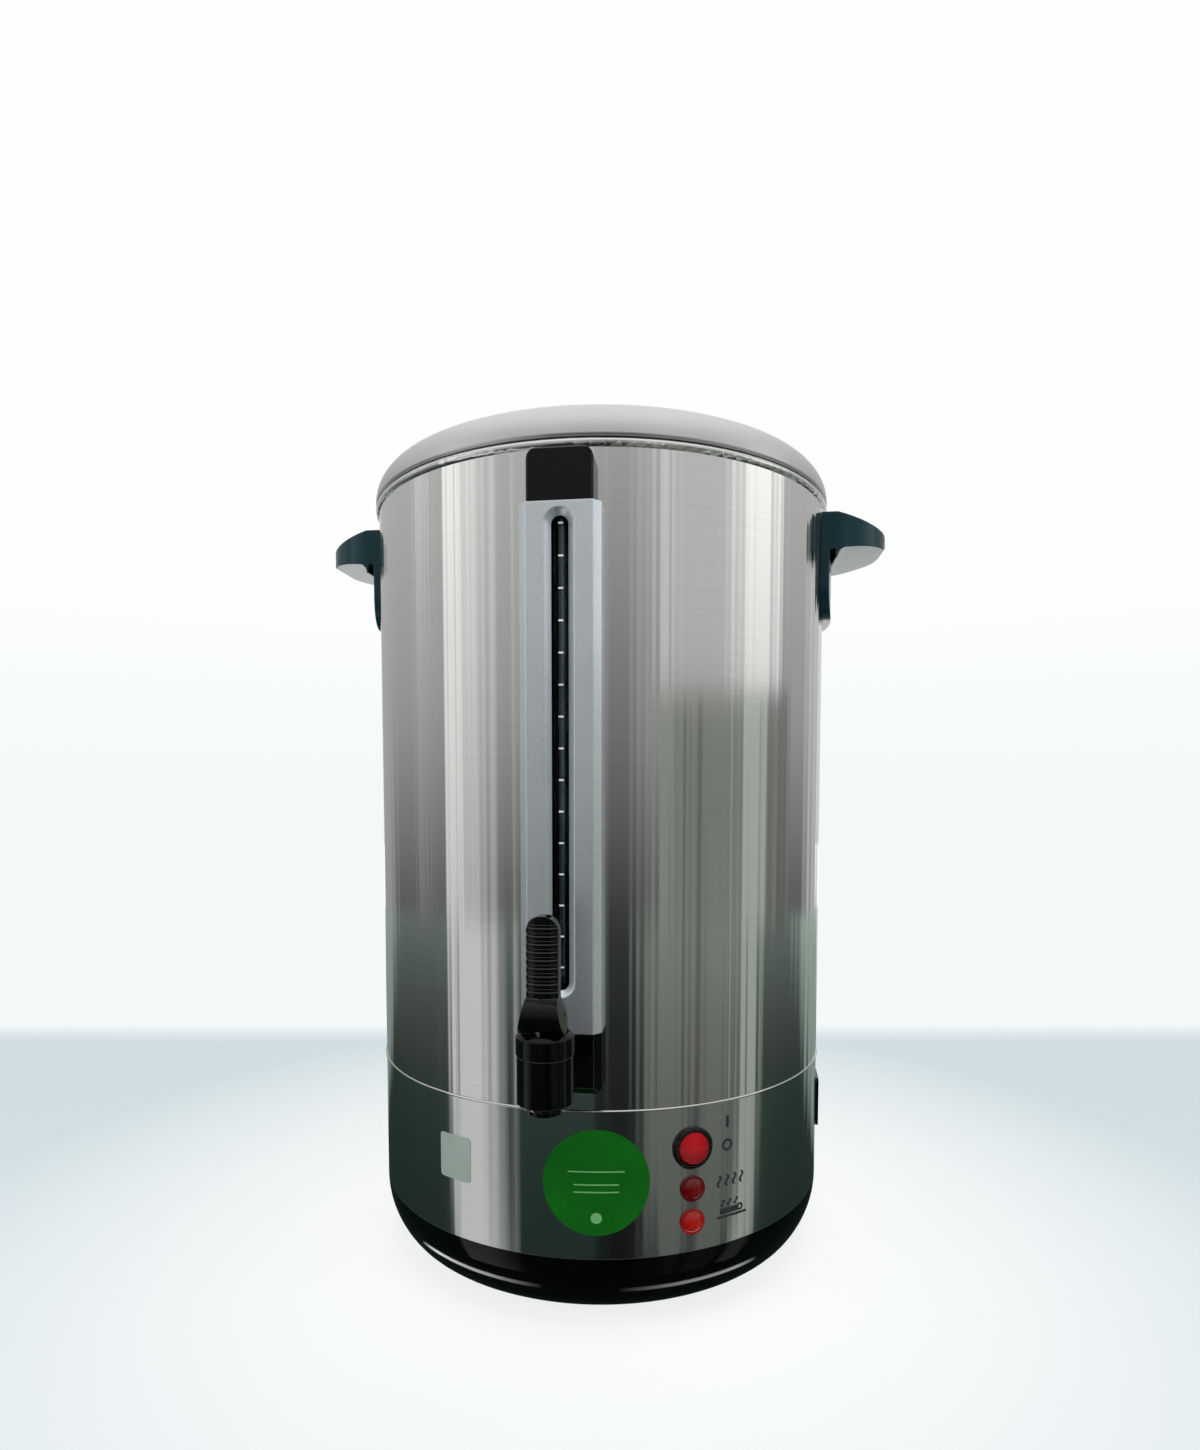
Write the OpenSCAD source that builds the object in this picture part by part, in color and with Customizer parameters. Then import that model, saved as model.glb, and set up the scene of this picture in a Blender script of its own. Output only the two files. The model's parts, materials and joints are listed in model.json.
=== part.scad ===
// Coffee urn: a steel tank on a steel skirt and a black base, with a sight gauge and a lever tap
// in front, two shelf handles and a lid that lifts off. The front is -Y, and Z = 0 is the floor.

/* [Tank] */
// Outer diameter of the tank and the skirt
body_d = 286; // [240:1:340]
// Thickness of the steel sheet
wall_t = 1; // [0.8:0.1:1.5]
// Height of the tank wall from the seam to the rim
tank_h = 343; // [260:1:420]
// Depth of the tank floor below the seam
floor_drop = 11; // [9:0.1:11.4]
// Outer radius where the wall turns into the floor
floor_corner_r = 8; // [4:0.5:10]
// Radius of the rolled bead on the rim
rim_bead_r = 2.5; // [2:0.1:3.5]
// How far the rim bead stands out of the wall
rim_bead_out = 1.7; // [0.5:0.1:2.5]

/* [Skirt and base] */
// Height of the steel skirt
skirt_h = 80.4; // [80.2:0.1:110]
// Radius of the bead along the seam
seam_bead_r = 0.7; // [0.4:0.1:0.9]
// Width of the ring inside the skirt's foot
skirt_ring_w = 12; // [8:0.5:16]
// Radius of the base's upper curve
base_upper_r = 48; // [40:1:60]
// Radius of the base's lower curve
base_lower_r = 26; // [20:1:32]
// Angle below level at which the two curves meet
base_turn = 35; // [25:1:45]
// Wall of the base
base_wall = 3; // [2.5:0.1:4]
// Height of the rib that centres the base in the skirt
base_rib_h = 6; // [3:0.5:10]
// Length of the vent slots in the base
vent_l = 22; // [12:1:30]
// Width of the vent slots in the base
vent_w = 4; // [3:0.5:6]
// Number of vent slots
vent_count = 12; // [6:1:16]
// Mean diameter of the foot ring
foot_d = 190; // [150:1:200]
// Width of the foot ring
foot_w = 14; // [8:0.5:18]
// Height of the foot ring below the base
foot_h = 3.5; // [2:0.1:6]
// Depth of the groove that holds the foot ring
foot_sink = 1.5; // [1:0.1:2]

/* [Tie rod] */
// Diameter of the tie rod
tie_d = 6; // [5:0.5:8]
// Diameter of the tie washer
tie_washer_d = 18; // [16:0.5:22]
// Thickness of the tie washer
tie_washer_t = 1.2; // [1:0.1:2]
// Thickness of the tie nut
tie_nut_h = 5; // [4:0.1:5.5]
// Depth of the recess under the base for the nut
tie_recess = 9; // [8:0.5:12]

/* [Lid] */
// Radius of the lid's shoulder
lid_shoulder_r = 20; // [14:0.5:26]
// Slope of the lid where the shoulder meets the crown
lid_turn = 17; // [10:0.5:24]
// Radius of the lid's rolled edge
lid_edge_r = 1.5; // [1.2:0.1:2]
// Depth of the collar that drops into the tank
lid_ring_h = 11; // [6:0.5:20]
// Clearance between the collar and the rim bead
lid_fit = 0.5; // [0.3:0.1:1]
// Gap between the lid and the rim
lid_gap = 0.3; // [0.2:0.05:0.5]
// Diameter of the knob
knob_d = 38; // [30:0.5:46]
// Height of the knob
knob_h = 24; // [21:0.5:28]
// Diameter of the knob's neck
knob_neck_d = 19; // [15:0.5:24]
// Diameter of the knob's foot
knob_foot_d = 30; // [24:0.5:36]
// Diameter of the knob screw
knob_screw_d = 5; // [4:0.5:6]

/* [Handles] */
// Width of a handle
handle_w = 74; // [60:1:90]
// Reach of a handle from the tank wall
handle_reach = 38.5; // [34:0.5:50]
// Drop of the handle's top below the rim
handle_drop = 8.7; // [6:0.1:20]
// Thickness of the grip at its tip
grip_tip_t = 10; // [8:0.5:12]
// Thickness of the grip at its root
grip_root_t = 21.5; // [16:0.5:26]
// Drop of the grip's top from root to tip
grip_fall = 8; // [2:0.1:9]
// Rounding of the grip seen from above, as a share of half its width
grip_round = 0.97; // [0.5:0.01:0.98]
// Thickness of the handle's back plate
plate_t = 5; // [4:0.5:8]
// Height of the handle's back plate
plate_h = 61; // [54:0.5:70]
// Radius of the fillet under the grip
grip_fillet_r = 6; // [3:0.5:9]
// Diameter of the studs that carry a handle
stud_d = 5; // [4:0.5:6]
// Spacing of a handle's two studs
stud_spacing = 36; // [28:0.5:44]
// Height of the studs above the plate's lower edge
stud_up = 12; // [10:0.5:16]

/* [Sight gauge] */
// Width of the gauge
gauge_w = 41.2; // [38:0.2:46]
// Depth of the gauge cover from the tank wall
gauge_depth = 18; // [17:0.5:22]
// Drop of the gauge head below the rim
gauge_drop = 10.1; // [6:0.1:20]
// Height of the gauge head above the cover
head_h = 26; // [26:0.2:40]
// Width of the gauge head
head_w = 33.4; // [32:0.2:38]
// Corner radius of the gauge head
head_corner_r = 6; // [3:0.5:14]
// Width of the bevel round the gauge head's face
head_bevel = 0.8; // [0.5:0.1:3]
// How far the head and the tap block lie back from the cover
head_back = 2; // [1:0.5:2.5]
// Height of the cover's lower end above the seam
cover_up = 45; // [44:0.5:60]
// Wall of the cover
cover_wall = 2; // [1.6:0.1:2.6]
// Thickness of the cover's face
cover_face = 3.5; // [2.5:0.1:4]
// Width of the bevel along the cover's edges
cover_bevel = 4; // [2:0.1:5]
// Clear width of the slot
slot_w = 8; // [6:0.2:9]
// Width of the slot at the face
slot_flare = 15; // [12:0.2:18]
// Distance from the cover's lower end to the slot
slot_low = 18.4; // [17:0.2:26]
// Distance from the cover's upper end to the slot
slot_top = 3.4; // [3:0.2:12]
// Outer diameter of the sight tube
tube_d = 8; // [7:0.1:8.5]
// Wall of the sight tube
tube_wall = 1; // [0.8:0.1:1.5]
// Distance of the tube's axis from the tank wall
tube_out = 8.5; // [8:0.1:9]
// Outer diameter of the tube's seals
seal_d = 10; // [9.6:0.1:10.4]
// Length of the tube's seals
seal_l = 12; // [10:0.5:13]
// Diameter of the gauge screw
gauge_screw_d = 4; // [3:0.5:5]

/* [Tap] */
// Height of the tap's shank above the seam
tap_up = 34; // [30:0.5:34]
// Distance of the tap's upright axis from the tank wall
tap_reach = 57; // [50:0.5:70]
// Height of the tap block's lower edge above the seam
block_up = 13.3; // [10:0.1:18]
// Diameter of the tap barrel
barrel_d = 26; // [26:0.5:32]
// Height of the tap barrel
barrel_h = 23.2; // [20:0.1:26]
// Diameter of the outlet
nozzle_d = 15; // [13:0.5:18]
// Length of the outlet below the barrel
nozzle_l = 4; // [4:0.1:12]
// Bore of the outlet and the shank
water_d = 9; // [7:0.5:10]
// Diameter of the tap's neck
neck_d = 20; // [18:0.5:20.5]
// Diameter of the threaded shank
shank_d = 16; // [14:0.5:17]
// Diameter of the valve chamber
chamber_d = 20; // [18.5:0.1:20.8]
// Diameter of the bonnet
bonnet_d = 27; // [27:0.2:32]
// Height of the bonnet
bonnet_h = 10.6; // [10:0.1:15]
// Thickness of the bonnet's top
bonnet_top_t = 3.6; // [3:0.1:4]
// Diameter of the valve stem
stem_d = 5; // [4:0.1:5.6]
// Running clearance of pins and stems, on the radius
run_gap = 0.05; // [0.02:0.01:0.1]
// Diameter of the seat cup
cup_d = 15; // [13.5:0.1:16.5]
// Height of the seat cup
cup_h = 7.4; // [6:0.1:8.4]
// Wire of the return spring
spring_wire = 1; // [0.8:0.1:1.2]
// Mean diameter of the return spring
spring_d = 9; // [8:0.1:11]
// Number of curls in the return spring
spring_turns = 5; // [3:1:6]

/* [Tap lever] */
// Radius of the lever's cam
cam_r = 8; // [7:0.1:9.5]
// Angle the lever is pulled through
lever_pull = 40; // [30:1:42]
// Distance of the cam's centre in front of the pin
cam_off = 5; // [3:0.1:5.5]
// Gap between the cam and the bonnet
cam_gap = 0.3; // [0.2:0.05:0.5]
// Width of the lever's fork
fork_w = 21; // [18:0.5:24]
// Width of the stem's eye between the fork's cheeks
eye_w = 6; // [5:0.1:7]
// Gap between the eye and each cheek
eye_gap = 0.3; // [0.2:0.05:0.5]
// Diameter of the lever pin
pin_d = 3; // [2.5:0.1:3.6]
// Width of the paddle
paddle_w = 14.8; // [12:0.2:18]
// Thickness of the paddle
paddle_t = 8.5; // [7:0.1:10]
// Height of the lever above the pin
paddle_up = 45.2; // [36:0.2:60]
// Pitch of the paddle's finger grooves
groove_pitch = 3.6; // [3:0.1:5]
// Number of finger grooves
groove_count = 9; // [6:1:10]

/* [Controls] */
// Angle of the switch and the lamps from the front
control_angle = 27.3; // [24:0.1:40]
// Height of the switch above the base
switch_up = 57; // [55:0.1:57.4]
// Height of the heating lamp above the base
heating_lamp_up = 34.6; // [33.5:0.1:36]
// Height of the keep-warm lamp above the base
warm_lamp_up = 16.5; // [13:0.1:17]
// Diameter of the switch bezel
switch_d = 23; // [22:0.1:26]
// Diameter of the switch housing
switch_barrel_d = 20.6; // [20.4:0.1:21]
// Diameter of the rocker
rocker_d = 18.2; // [16:0.1:18.4]
// Tilt of the rocker to either side
rocker_tilt = 10; // [6:0.5:12]
// Diameter of a lamp lens
lamp_d = 14; // [13.4:0.1:17]
// Diameter of a lamp holder
lamp_barrel_d = 11.6; // [10:0.1:12]
// Angle of the power inlet from the front
inlet_angle = 88; // [80:0.5:120]
// Height of the power inlet above the base
inlet_up = 45.4; // [30:0.2:50]
// Width of the inlet's cut-out
inlet_w = 20; // [19:0.2:24]
// Height of the inlet's cut-out
inlet_h = 27; // [26:0.2:32]
// Depth of the inlet behind the wall
inlet_depth = 22; // [20:0.5:28]

/* [Heating] */
// Diameter of the heat plate
heat_plate_d = 190; // [176:1:220]
// Thickness of the heat plate
heat_plate_t = 7; // [6:0.5:9]
// Diameter of the heating element's tube
element_d = 8; // [6.5:0.1:9]
// Mean diameter of the heating element
element_ring_d = 150; // [136:1:160]
// Arc of the heating element
element_arc = 320; // [300:1:325]
// Length of the element's upright ends
element_leg = 20; // [12:0.5:24]
// Distance of the thermostats from the axis
thermostat_r = 40; // [32:0.5:48]
// Diameter of a thermostat
thermostat_d = 16.5; // [14:0.1:19]
// Length of the terminal block
terminal_l = 40; // [36:0.5:50]

/* [Clearances] */
// Gap between sheets and seats that lie on each other
seat_gap = 0.1; // [0.05:0.01:0.15]
// Gap round a barrel or a screw in its hole
hole_gap = 0.2; // [0.1:0.05:0.4]

/* [Hidden] */
$fn = 96;
far = 500;
through = 20;

body_r = body_d / 2;
joggle = wall_t + seat_gap;
joggle_r = body_r - joggle;
base_z0 = foot_h;
base_h = (base_upper_r - base_lower_r) * sin(base_turn) + base_lower_r;
skirt_z0 = base_z0 + base_h;
seam_z = skirt_z0 + skirt_h;
rim_z = seam_z + tank_h;
floor_z = seam_z - floor_drop;
floor_under = floor_z - wall_t;
rim_bead_c = body_r + rim_bead_out - rim_bead_r;

base_floor_z = base_z0 + base_wall;
base_ledge_in = body_r - skirt_ring_w - base_wall - seat_gap;
tie_seat_z = base_z0 + tie_recess;
tie_boss_d = tie_washer_d + 2 * base_wall + 2;
tie_nut_af = tie_d * 1.67;
tie_rod_up = 1;
vent_margin = 6;
foot_edge = 1;

lid_r = body_r + rim_bead_out;
lid_z0 = rim_z + lid_gap;
lid_shoulder_c = [lid_r - lid_shoulder_r, lid_z0 + lid_edge_r];
lid_join_r = lid_shoulder_c[0] + lid_shoulder_r * sin(lid_turn);
lid_join_z = lid_shoulder_c[1] + lid_shoulder_r * cos(lid_turn);
crown_r = lid_join_r / sin(lid_turn);
crown_z = lid_join_z - crown_r * cos(lid_turn);
lid_top_z = crown_z + crown_r;
collar_r = rim_bead_c - rim_bead_r - lid_fit;
knob_head_h = knob_h * 0.45;
knob_foot_h = knob_h * 0.17;
knob_edge_r = 3;
knob_foot_rim = 1.5;
knob_flare = 2;
knob_washer_t = 1.6;
knob_washer_d = knob_screw_d * 3;
knob_screw_head_t = 3;
knob_screw_head_d = knob_screw_d * 1.9;
knob_seat_z = lid_top_z - wall_t - knob_washer_t;

handle_top_z = rim_z - handle_drop;
plate_z0 = handle_top_z - plate_h;
plate_r = body_r + plate_t;
grip_x = body_r + handle_reach;
grip_corner_r = grip_round * handle_w / 2;
grip_tip_r = grip_tip_t / 2;
grip_tip_z = handle_top_z - grip_fall - grip_tip_r;
stud_angle = asin(stud_spacing / 2 / body_r);
stud_z = plate_z0 + stud_up;
stud_nut_af = stud_d * 1.6;
stud_nut_h = plate_t * 0.5;
stud_seat = plate_t * 0.45;
stud_recess_d = stud_nut_af + 3;
plate_low_r = plate_h * 0.3;

block_z0 = seam_z + block_up;
cover_z0 = seam_z + cover_up;
head_z1 = rim_z - gauge_drop;
cover_z1 = head_z1 - head_h;
cover_end_gap = 0.2;
cover_face_y = body_r + gauge_depth;
cover_inner_y = cover_face_y - cover_face;
head_face_y = cover_face_y - head_back;
cover_side_gap = 0.3;
carrier_w = gauge_w - 2 * (cover_wall + cover_side_gap);
carrier_back_t = 3;
block_corner_r = 4;
tube_y = body_r + tube_out;
socket_front_y = cover_inner_y - cover_side_gap;
socket_lap = 1;
low_socket_z0 = cover_z0 + socket_lap;
socket_z1 = low_socket_z0 + seal_l;
top_socket_z0 = cover_z1 - socket_lap;
top_socket_z1 = top_socket_z0 + seal_l;
tube_z0 = low_socket_z0 + socket_lap;
tube_z1 = top_socket_z1 - socket_lap;
vent_d = 2;
gauge_screw_z = head_z1 - head_h * 0.28;
gauge_screw_reach = 5;
gauge_screw_head_t = 2.5;
gauge_screw_head_d = gauge_screw_d * 2;
gauge_washer_t = 1.5;
gauge_washer_d = gauge_screw_d * 2.6;

tap_z = seam_z + tap_up;
tap_y = body_r + tap_reach;
barrel_below = 0.45;
barrel_z0 = tap_z - barrel_h * barrel_below;
barrel_z1 = barrel_z0 + barrel_h;
thread_room = 2.4;
thread_h = bonnet_h - bonnet_top_t - thread_room;
thread_d = (chamber_d + bonnet_d) / 2;
chamber_floor_t = 4.5;
chamber_z0 = barrel_z0 + chamber_floor_t;
seat_h = 2.5;
seat_z = chamber_z0 + seat_h;
seat_rim = 2;
gasket_t = 2;
gasket_d = shank_d + 8;
tap_nut_h = 7;
tap_nut_af = shank_d * 1.5;
shank_past = 3;
shank_end_y = body_r - wall_t - gasket_t - tap_nut_h - shank_past;
pickup_d = water_d / 2;
barrel_edge = 1.5;
bonnet_edge = 2;
bonnet_low_edge = 0.6;
bonnet_z0 = barrel_z1 + hole_gap;
bonnet_z1 = bonnet_z0 + bonnet_h;
bonnet_inner_z = bonnet_z1 - bonnet_top_t;
cup_z0 = seat_z + seat_gap;
cup_floor = 2;
cup_lip = 3;
cup_slope = 1.5;
collar_z = cup_z0 + cup_h;
collar_t = 1.2;
collar_d = spring_d + spring_wire + 1;
spring_z0 = collar_z + collar_t + seat_gap;
spring_z1 = bonnet_inner_z - seat_gap;
curl_steps = 8;
wire_sides = 6;

pin_z = bonnet_z1 + cam_gap + cam_r;
eye_wall = 2.4;
eye_r = pin_d / 2 + eye_wall;
hub_r = eye_r + 1.2;
eye_room = 1;
cheek_in = eye_w / 2 + eye_gap;
pin_half = fork_w / 2 - (fork_w - paddle_w) * 0.3;
paddle_z0 = pin_z + hub_r + 1;
paddle_lap = 2;
paddle_z1 = pin_z + paddle_up;
paddle_y = tap_y + cam_off * 0.8;
paddle_r = paddle_w * 0.75;
paddle_top_r = paddle_w * 0.48;
groove_top = 4;
groove_t = 1.5;
groove_depth = 0.7;

switch_z = skirt_z0 + switch_up;
heating_lamp_z = skirt_z0 + heating_lamp_up;
warm_lamp_z = skirt_z0 + warm_lamp_up;
inlet_z = skirt_z0 + inlet_up;
bezel_t = 2.2;
bezel_edge = 1;
bezel_sink = 5;
switch_depth = 17;
switch_blade = [1, 6, 9];
switch_blade_y = 5;
rocker_pivot = body_r - 1;
rocker_r = rocker_d / 2;
rocker_rise = 3.2;
rocker_low = rocker_r * 0.6;
rocker_gap = 0.3;
rocker_bore_r = rocker_r + rocker_gap;
rocker_floor = rocker_r * 0.8;
rocker_axle_d = 2.6;
rocker_axle_l = switch_barrel_d - 0.4;
lens_dome_h = 3.2;
lens_rim = 1;
lens_rim_t = 1.2;
lens_sink = 3;
spigot_d = lamp_barrel_d - 2.4;
lamp_bore_d = lamp_barrel_d - 2.2;
lamp_depth = 18;
lamp_floor = 3;
lamp_blade = [0.8, 4, 7];
lamp_blade_x = 2.5;
lamp_nut_t = 4;
lamp_nut_af = lamp_barrel_d + 4;
inlet_flange = 2;
inlet_flange_r = 2.5;
inlet_corner_r = 2;
inlet_face = 1.6;
inlet_wall = 1.8;
inlet_cut = 4;
inlet_socket_depth = 17;
inlet_pin = [4, 2];
inlet_pin_places = [[2, -7], [2, 7], [-2, 0]];
inlet_pin_tail = 7;
inlet_pin_in = 6;

heat_z0 = floor_under - heat_plate_t;
element_leg_d = element_d * 0.75;
element_leg_in = element_d;
element_blade = [4.6, 0.8, 10];
disc_h = 4;
disc_body_h = 14;
disc_flange_t = 1;
disc_flange_r = 3;
disc_blade = [0.8, 6, 9];
disc_blade_x = 4;
ear_end = 3.5;
ear_screw_d = 3;
ear_screw_l = 9;
ear_screw_head = [5.6, 2];
thermostat_ear = thermostat_d / 2 + 4;
terminal_z0 = base_floor_z;
terminal_w = 18;
terminal_h = 14;
terminal_y = -58;
terminal_pitch = terminal_l / 3.4;
terminal_axis_z = terminal_h * 0.4;
terminal_wire_d = 4;
terminal_screw_d = 3.3;

steel = [0.74, 0.74, 0.72];
black = [0.05, 0.05, 0.05];
silver = [0.72, 0.73, 0.74];
red = [0.65, 0.04, 0.05];
rubber = [0.12, 0.12, 0.12];
silicone = [0.8, 0.78, 0.74];
glass = [0.75, 0.82, 0.82];
zinc = [0.6, 0.6, 0.62];
brass = [0.75, 0.6, 0.3];

// Turns its children so that their z points out of the body at an angle from the front, with y up.
module radial(angle, z) {
    rotate([0, 0, angle]) translate([0, 0, z]) rotate([90, 0, 0]) children();
}

// A rectangle with round corners, centred.
module rounded_rect(w, h, r) {
    square([w - 2 * r, h], center = true);
    square([w, h - 2 * r], center = true);
    for (x = [-1, 1], y = [-1, 1])
        translate([x * (w / 2 - r), y * (h / 2 - r)]) circle(r);
}

// A hexagon by its width across flats.
module hexagon(af) { circle(d = af / cos(30), $fn = 6); }

// A solid cylinder of the body's axis, to cut or keep what lies inside a radius.
module core(r) { translate([0, 0, -far]) cylinder(r = r, h = 3 * far, $fn = 360); }

// A round hole through the body's sheet.
module wall_hole(angle, z, d)
    radial(angle, z) translate([0, 0, body_r - through / 2]) cylinder(d = d + 2 * hole_gap, h = through);

// The piece of a circle between two directions, for arcs that meet smoothly.
module arc_sector(centre, r, a0, a1) {
    reach = 3 * r;
    intersection() {
        translate(centre) circle(r, $fn = 180);
        polygon([
            centre,
            centre + reach * [cos(a0), sin(a0)],
            centre + reach * [cos((a0 + a1) / 2), sin((a0 + a1) / 2)],
            centre + reach * [cos(a1), sin(a1)]
        ]);
    }
}

module tank_section() {
    corner = [joggle_r - floor_corner_r, floor_under + floor_corner_r];
    translate([body_r - wall_t, seam_z]) square([wall_t, rim_z - rim_bead_r - seam_z]);
    translate([joggle_r - wall_t, seam_z]) square([joggle + wall_t, wall_t]);
    translate([joggle_r - wall_t, corner[1]]) square([wall_t, seam_z + wall_t - corner[1]]);
    difference() {
        arc_sector(corner, floor_corner_r, -90, 0);
        translate(corner) circle(floor_corner_r - wall_t);
    }
    translate([0, floor_under]) square([corner[0], wall_t]);
    translate([rim_bead_c, rim_z - rim_bead_r]) circle(rim_bead_r);
}

module tank() color(steel) difference() {
    rotate_extrude($fn = 180) tank_section();
    wall_hole(0, tap_z, shank_d);
    wall_hole(0, gauge_screw_z, gauge_screw_d);
}

module skirt_section() {
    translate([body_r - wall_t, skirt_z0]) square([wall_t, skirt_h - seat_gap]);
    translate([body_r, seam_z - seat_gap - seam_bead_r]) circle(seam_bead_r);
}

module skirt() color(steel) difference() {
    rotate_extrude($fn = 180) skirt_section();
    wall_hole(control_angle, switch_z, switch_barrel_d);
    for (z = [heating_lamp_z, warm_lamp_z]) wall_hole(control_angle, z, lamp_barrel_d);
    radial(inlet_angle, inlet_z) translate([0, 0, body_r - through / 2]) linear_extrude(through)
        rounded_rect(inlet_w + 2 * hole_gap, inlet_h + 2 * hole_gap, inlet_corner_r);
}

// The flat ring welded inside the skirt's foot, which sits on the base.
module skirt_ring() color(steel) rotate_extrude($fn = 180)
    translate([body_r - skirt_ring_w, skirt_z0]) square([skirt_ring_w - wall_t, wall_t]);

// The filled outline of the base, drawn in from its outside by an inset.
module base_outline(inset) {
    upper_c = [body_r - base_upper_r, skirt_z0];
    lower_c = upper_c + (base_upper_r - base_lower_r) * [cos(base_turn), -sin(base_turn)];
    lower_r = base_lower_r - inset;
    arc_sector(upper_c, base_upper_r - inset, -base_turn, 0);
    translate(lower_c) circle(lower_r, $fn = 180);
    translate([0, lower_c[1] - lower_r]) square([lower_c[0], skirt_z0 - lower_c[1] + lower_r]);
}

module base_section() {
    intersection() {
        difference() {
            base_outline(0);
            base_outline(base_wall);
        }
        square([body_r, skirt_z0]);
    }
    translate([base_ledge_in, skirt_z0 - base_wall])
        square([body_r - base_wall / 2 - base_ledge_in, base_wall]);
    translate([base_ledge_in, skirt_z0 - base_wall]) square([base_wall, base_wall + base_rib_h]);
}

module base() color(black) difference() {
    union() {
        rotate_extrude($fn = 180) base_section();
        translate([0, 0, base_z0]) cylinder(d = tie_boss_d, h = tie_recess + base_wall);
    }
    translate([0, 0, base_z0 - 1]) cylinder(d = tie_washer_d + 2, h = tie_recess + 1);
    cylinder(d = tie_d + 2 * hole_gap, h = far);
    foot_groove();
    for (i = [0 : vent_count - 1]) rotate([0, 0, (i + 0.5) * 360 / vent_count])
        translate([foot_d / 2 - foot_w / 2 - vent_l / 2 - vent_margin, 0, base_z0 - 1])
            linear_extrude(base_wall + 2) rounded_rect(vent_l, vent_w, vent_w * 0.49);
}

module foot_groove() {
    rotate_extrude($fn = 180)
        translate([foot_d / 2 - foot_w / 2 - seat_gap, base_z0 - 1])
            square([foot_w + 2 * seat_gap, foot_sink + 1]);
}

module foot_ring() color(rubber) rotate_extrude($fn = 180) {
    left = foot_d / 2 - foot_w / 2;
    right = left + foot_w;
    polygon([
        [left + foot_edge, 0], [right - foot_edge, 0], [right, foot_edge],
        [right, base_z0 + foot_sink], [left, base_z0 + foot_sink], [left, foot_edge]
    ]);
}

module tie_rod() color(zinc)
    translate([0, 0, base_z0 + tie_rod_up])
        cylinder(d = tie_d, h = floor_under - base_z0 - tie_rod_up);

module tie_washer() color(zinc) translate([0, 0, tie_seat_z - tie_washer_t]) difference() {
    cylinder(d = tie_washer_d, h = tie_washer_t);
    translate([0, 0, -1]) cylinder(d = tie_d + 2 * hole_gap, h = tie_washer_t + 2);
}

module tie_nut() color(zinc)
    translate([0, 0, tie_seat_z - tie_washer_t - tie_nut_h]) difference() {
        linear_extrude(tie_nut_h) hexagon(tie_nut_af);
        translate([0, 0, -1]) cylinder(d = tie_d + 2 * run_gap, h = tie_nut_h + 2);
    }

// The grip from the side: thick at the wall, thin at a round tip, with a fillet to the plate.
module grip_side() {
    tip = [grip_x - grip_tip_r, grip_tip_z];
    root_low = handle_top_z - grip_root_t;
    slope = atan2(tip[1] - grip_tip_r - root_low, tip[0] - plate_r);
    under = [sin(slope), -cos(slope)];
    fillet_c = [plate_r + grip_fillet_r,
        root_low + tan(slope) * grip_fillet_r - grip_fillet_r / cos(slope)];
    polygon([
        [body_r - 4, handle_top_z], [plate_r, handle_top_z], tip + [0, grip_tip_r],
        tip, tip + grip_tip_r * under, [plate_r, root_low], [body_r - 4, root_low]
    ]);
    translate(tip) circle(grip_tip_r);
    difference() {
        polygon([
            [plate_r - 1, root_low + 1], [plate_r - 1, fillet_c[1]], [plate_r, fillet_c[1]],
            fillet_c, fillet_c - grip_fillet_r * under, [plate_r + grip_fillet_r, root_low + 4]
        ]);
        translate(fillet_c) circle(grip_fillet_r);
    }
}

// The grip from above: a tongue with two wide round corners.
module grip_plan() {
    for (y = [-1, 1]) translate([grip_x - grip_corner_r, y * (handle_w / 2 - grip_corner_r)])
        circle(grip_corner_r);
    translate([0, -handle_w / 2]) square([grip_x - grip_corner_r, handle_w]);
    translate([0, grip_corner_r - handle_w / 2])
        square([grip_x, handle_w - 2 * grip_corner_r]);
}

// The back plate from outside: a shield with round lower corners.
module plate_face() {
    r = plate_low_r;
    translate([-handle_w / 2, plate_z0 + r]) square([handle_w, plate_h - r]);
    translate([r - handle_w / 2, plate_z0]) square([handle_w - 2 * r, plate_h]);
    for (x = [-1, 1]) translate([x * (handle_w / 2 - r), plate_z0 + r]) circle(r);
}

// A handle in place at the right; the left one is the same piece turned about the axis.
module handle() difference() {
    union() {
        intersection() {
            translate([0, handle_w / 2, 0]) rotate([90, 0, 0]) linear_extrude(handle_w) grip_side();
            translate([0, 0, plate_z0]) linear_extrude(plate_h) grip_plan();
        }
        intersection() {
            core(plate_r);
            rotate([90, 0, 90]) linear_extrude(2 * body_r) plate_face();
        }
    }
    core(body_r + seat_gap);
    for (a = [-stud_angle, stud_angle]) radial(90 + a, stud_z) {
        translate([0, 0, body_r - through / 2]) cylinder(d = stud_d + 2 * hole_gap, h = through);
        translate([0, 0, body_r + stud_seat]) cylinder(d = stud_recess_d, h = through);
    }
}

module handle_right() color(black) handle();
module handle_left() color(black) rotate([0, 0, 180]) handle();

// The studs welded to the tank's wall.
module handle_studs() color(zinc) difference() {
    for (side = [-90, 90], a = [-stud_angle, stud_angle])
        radial(side + a, stud_z) translate([0, 0, body_r - wall_t])
            cylinder(d = stud_d, h = wall_t + stud_seat + stud_nut_h);
    core(body_r);
}

// Thin nuts sunk in the plates.
module handle_nuts() color(zinc)
    for (side = [-90, 90], a = [-stud_angle, stud_angle])
        radial(side + a, stud_z) translate([0, 0, body_r + stud_seat + seat_gap]) difference() {
            linear_extrude(stud_nut_h) hexagon(stud_nut_af);
            translate([0, 0, -1]) cylinder(d = stud_d + 2 * run_gap, h = stud_nut_h + 2);
        }

// The gauge's plan: a box with bevelled front edges, front at face_y.
module gauge_plan(w, face_y, bevel) {
    back = body_r - 10;
    polygon([
        [-w / 2, -back], [w / 2, -back], [w / 2, bevel - face_y],
        [w / 2 - bevel, -face_y], [bevel - w / 2, -face_y], [-w / 2, bevel - face_y]
    ]);
}

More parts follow.
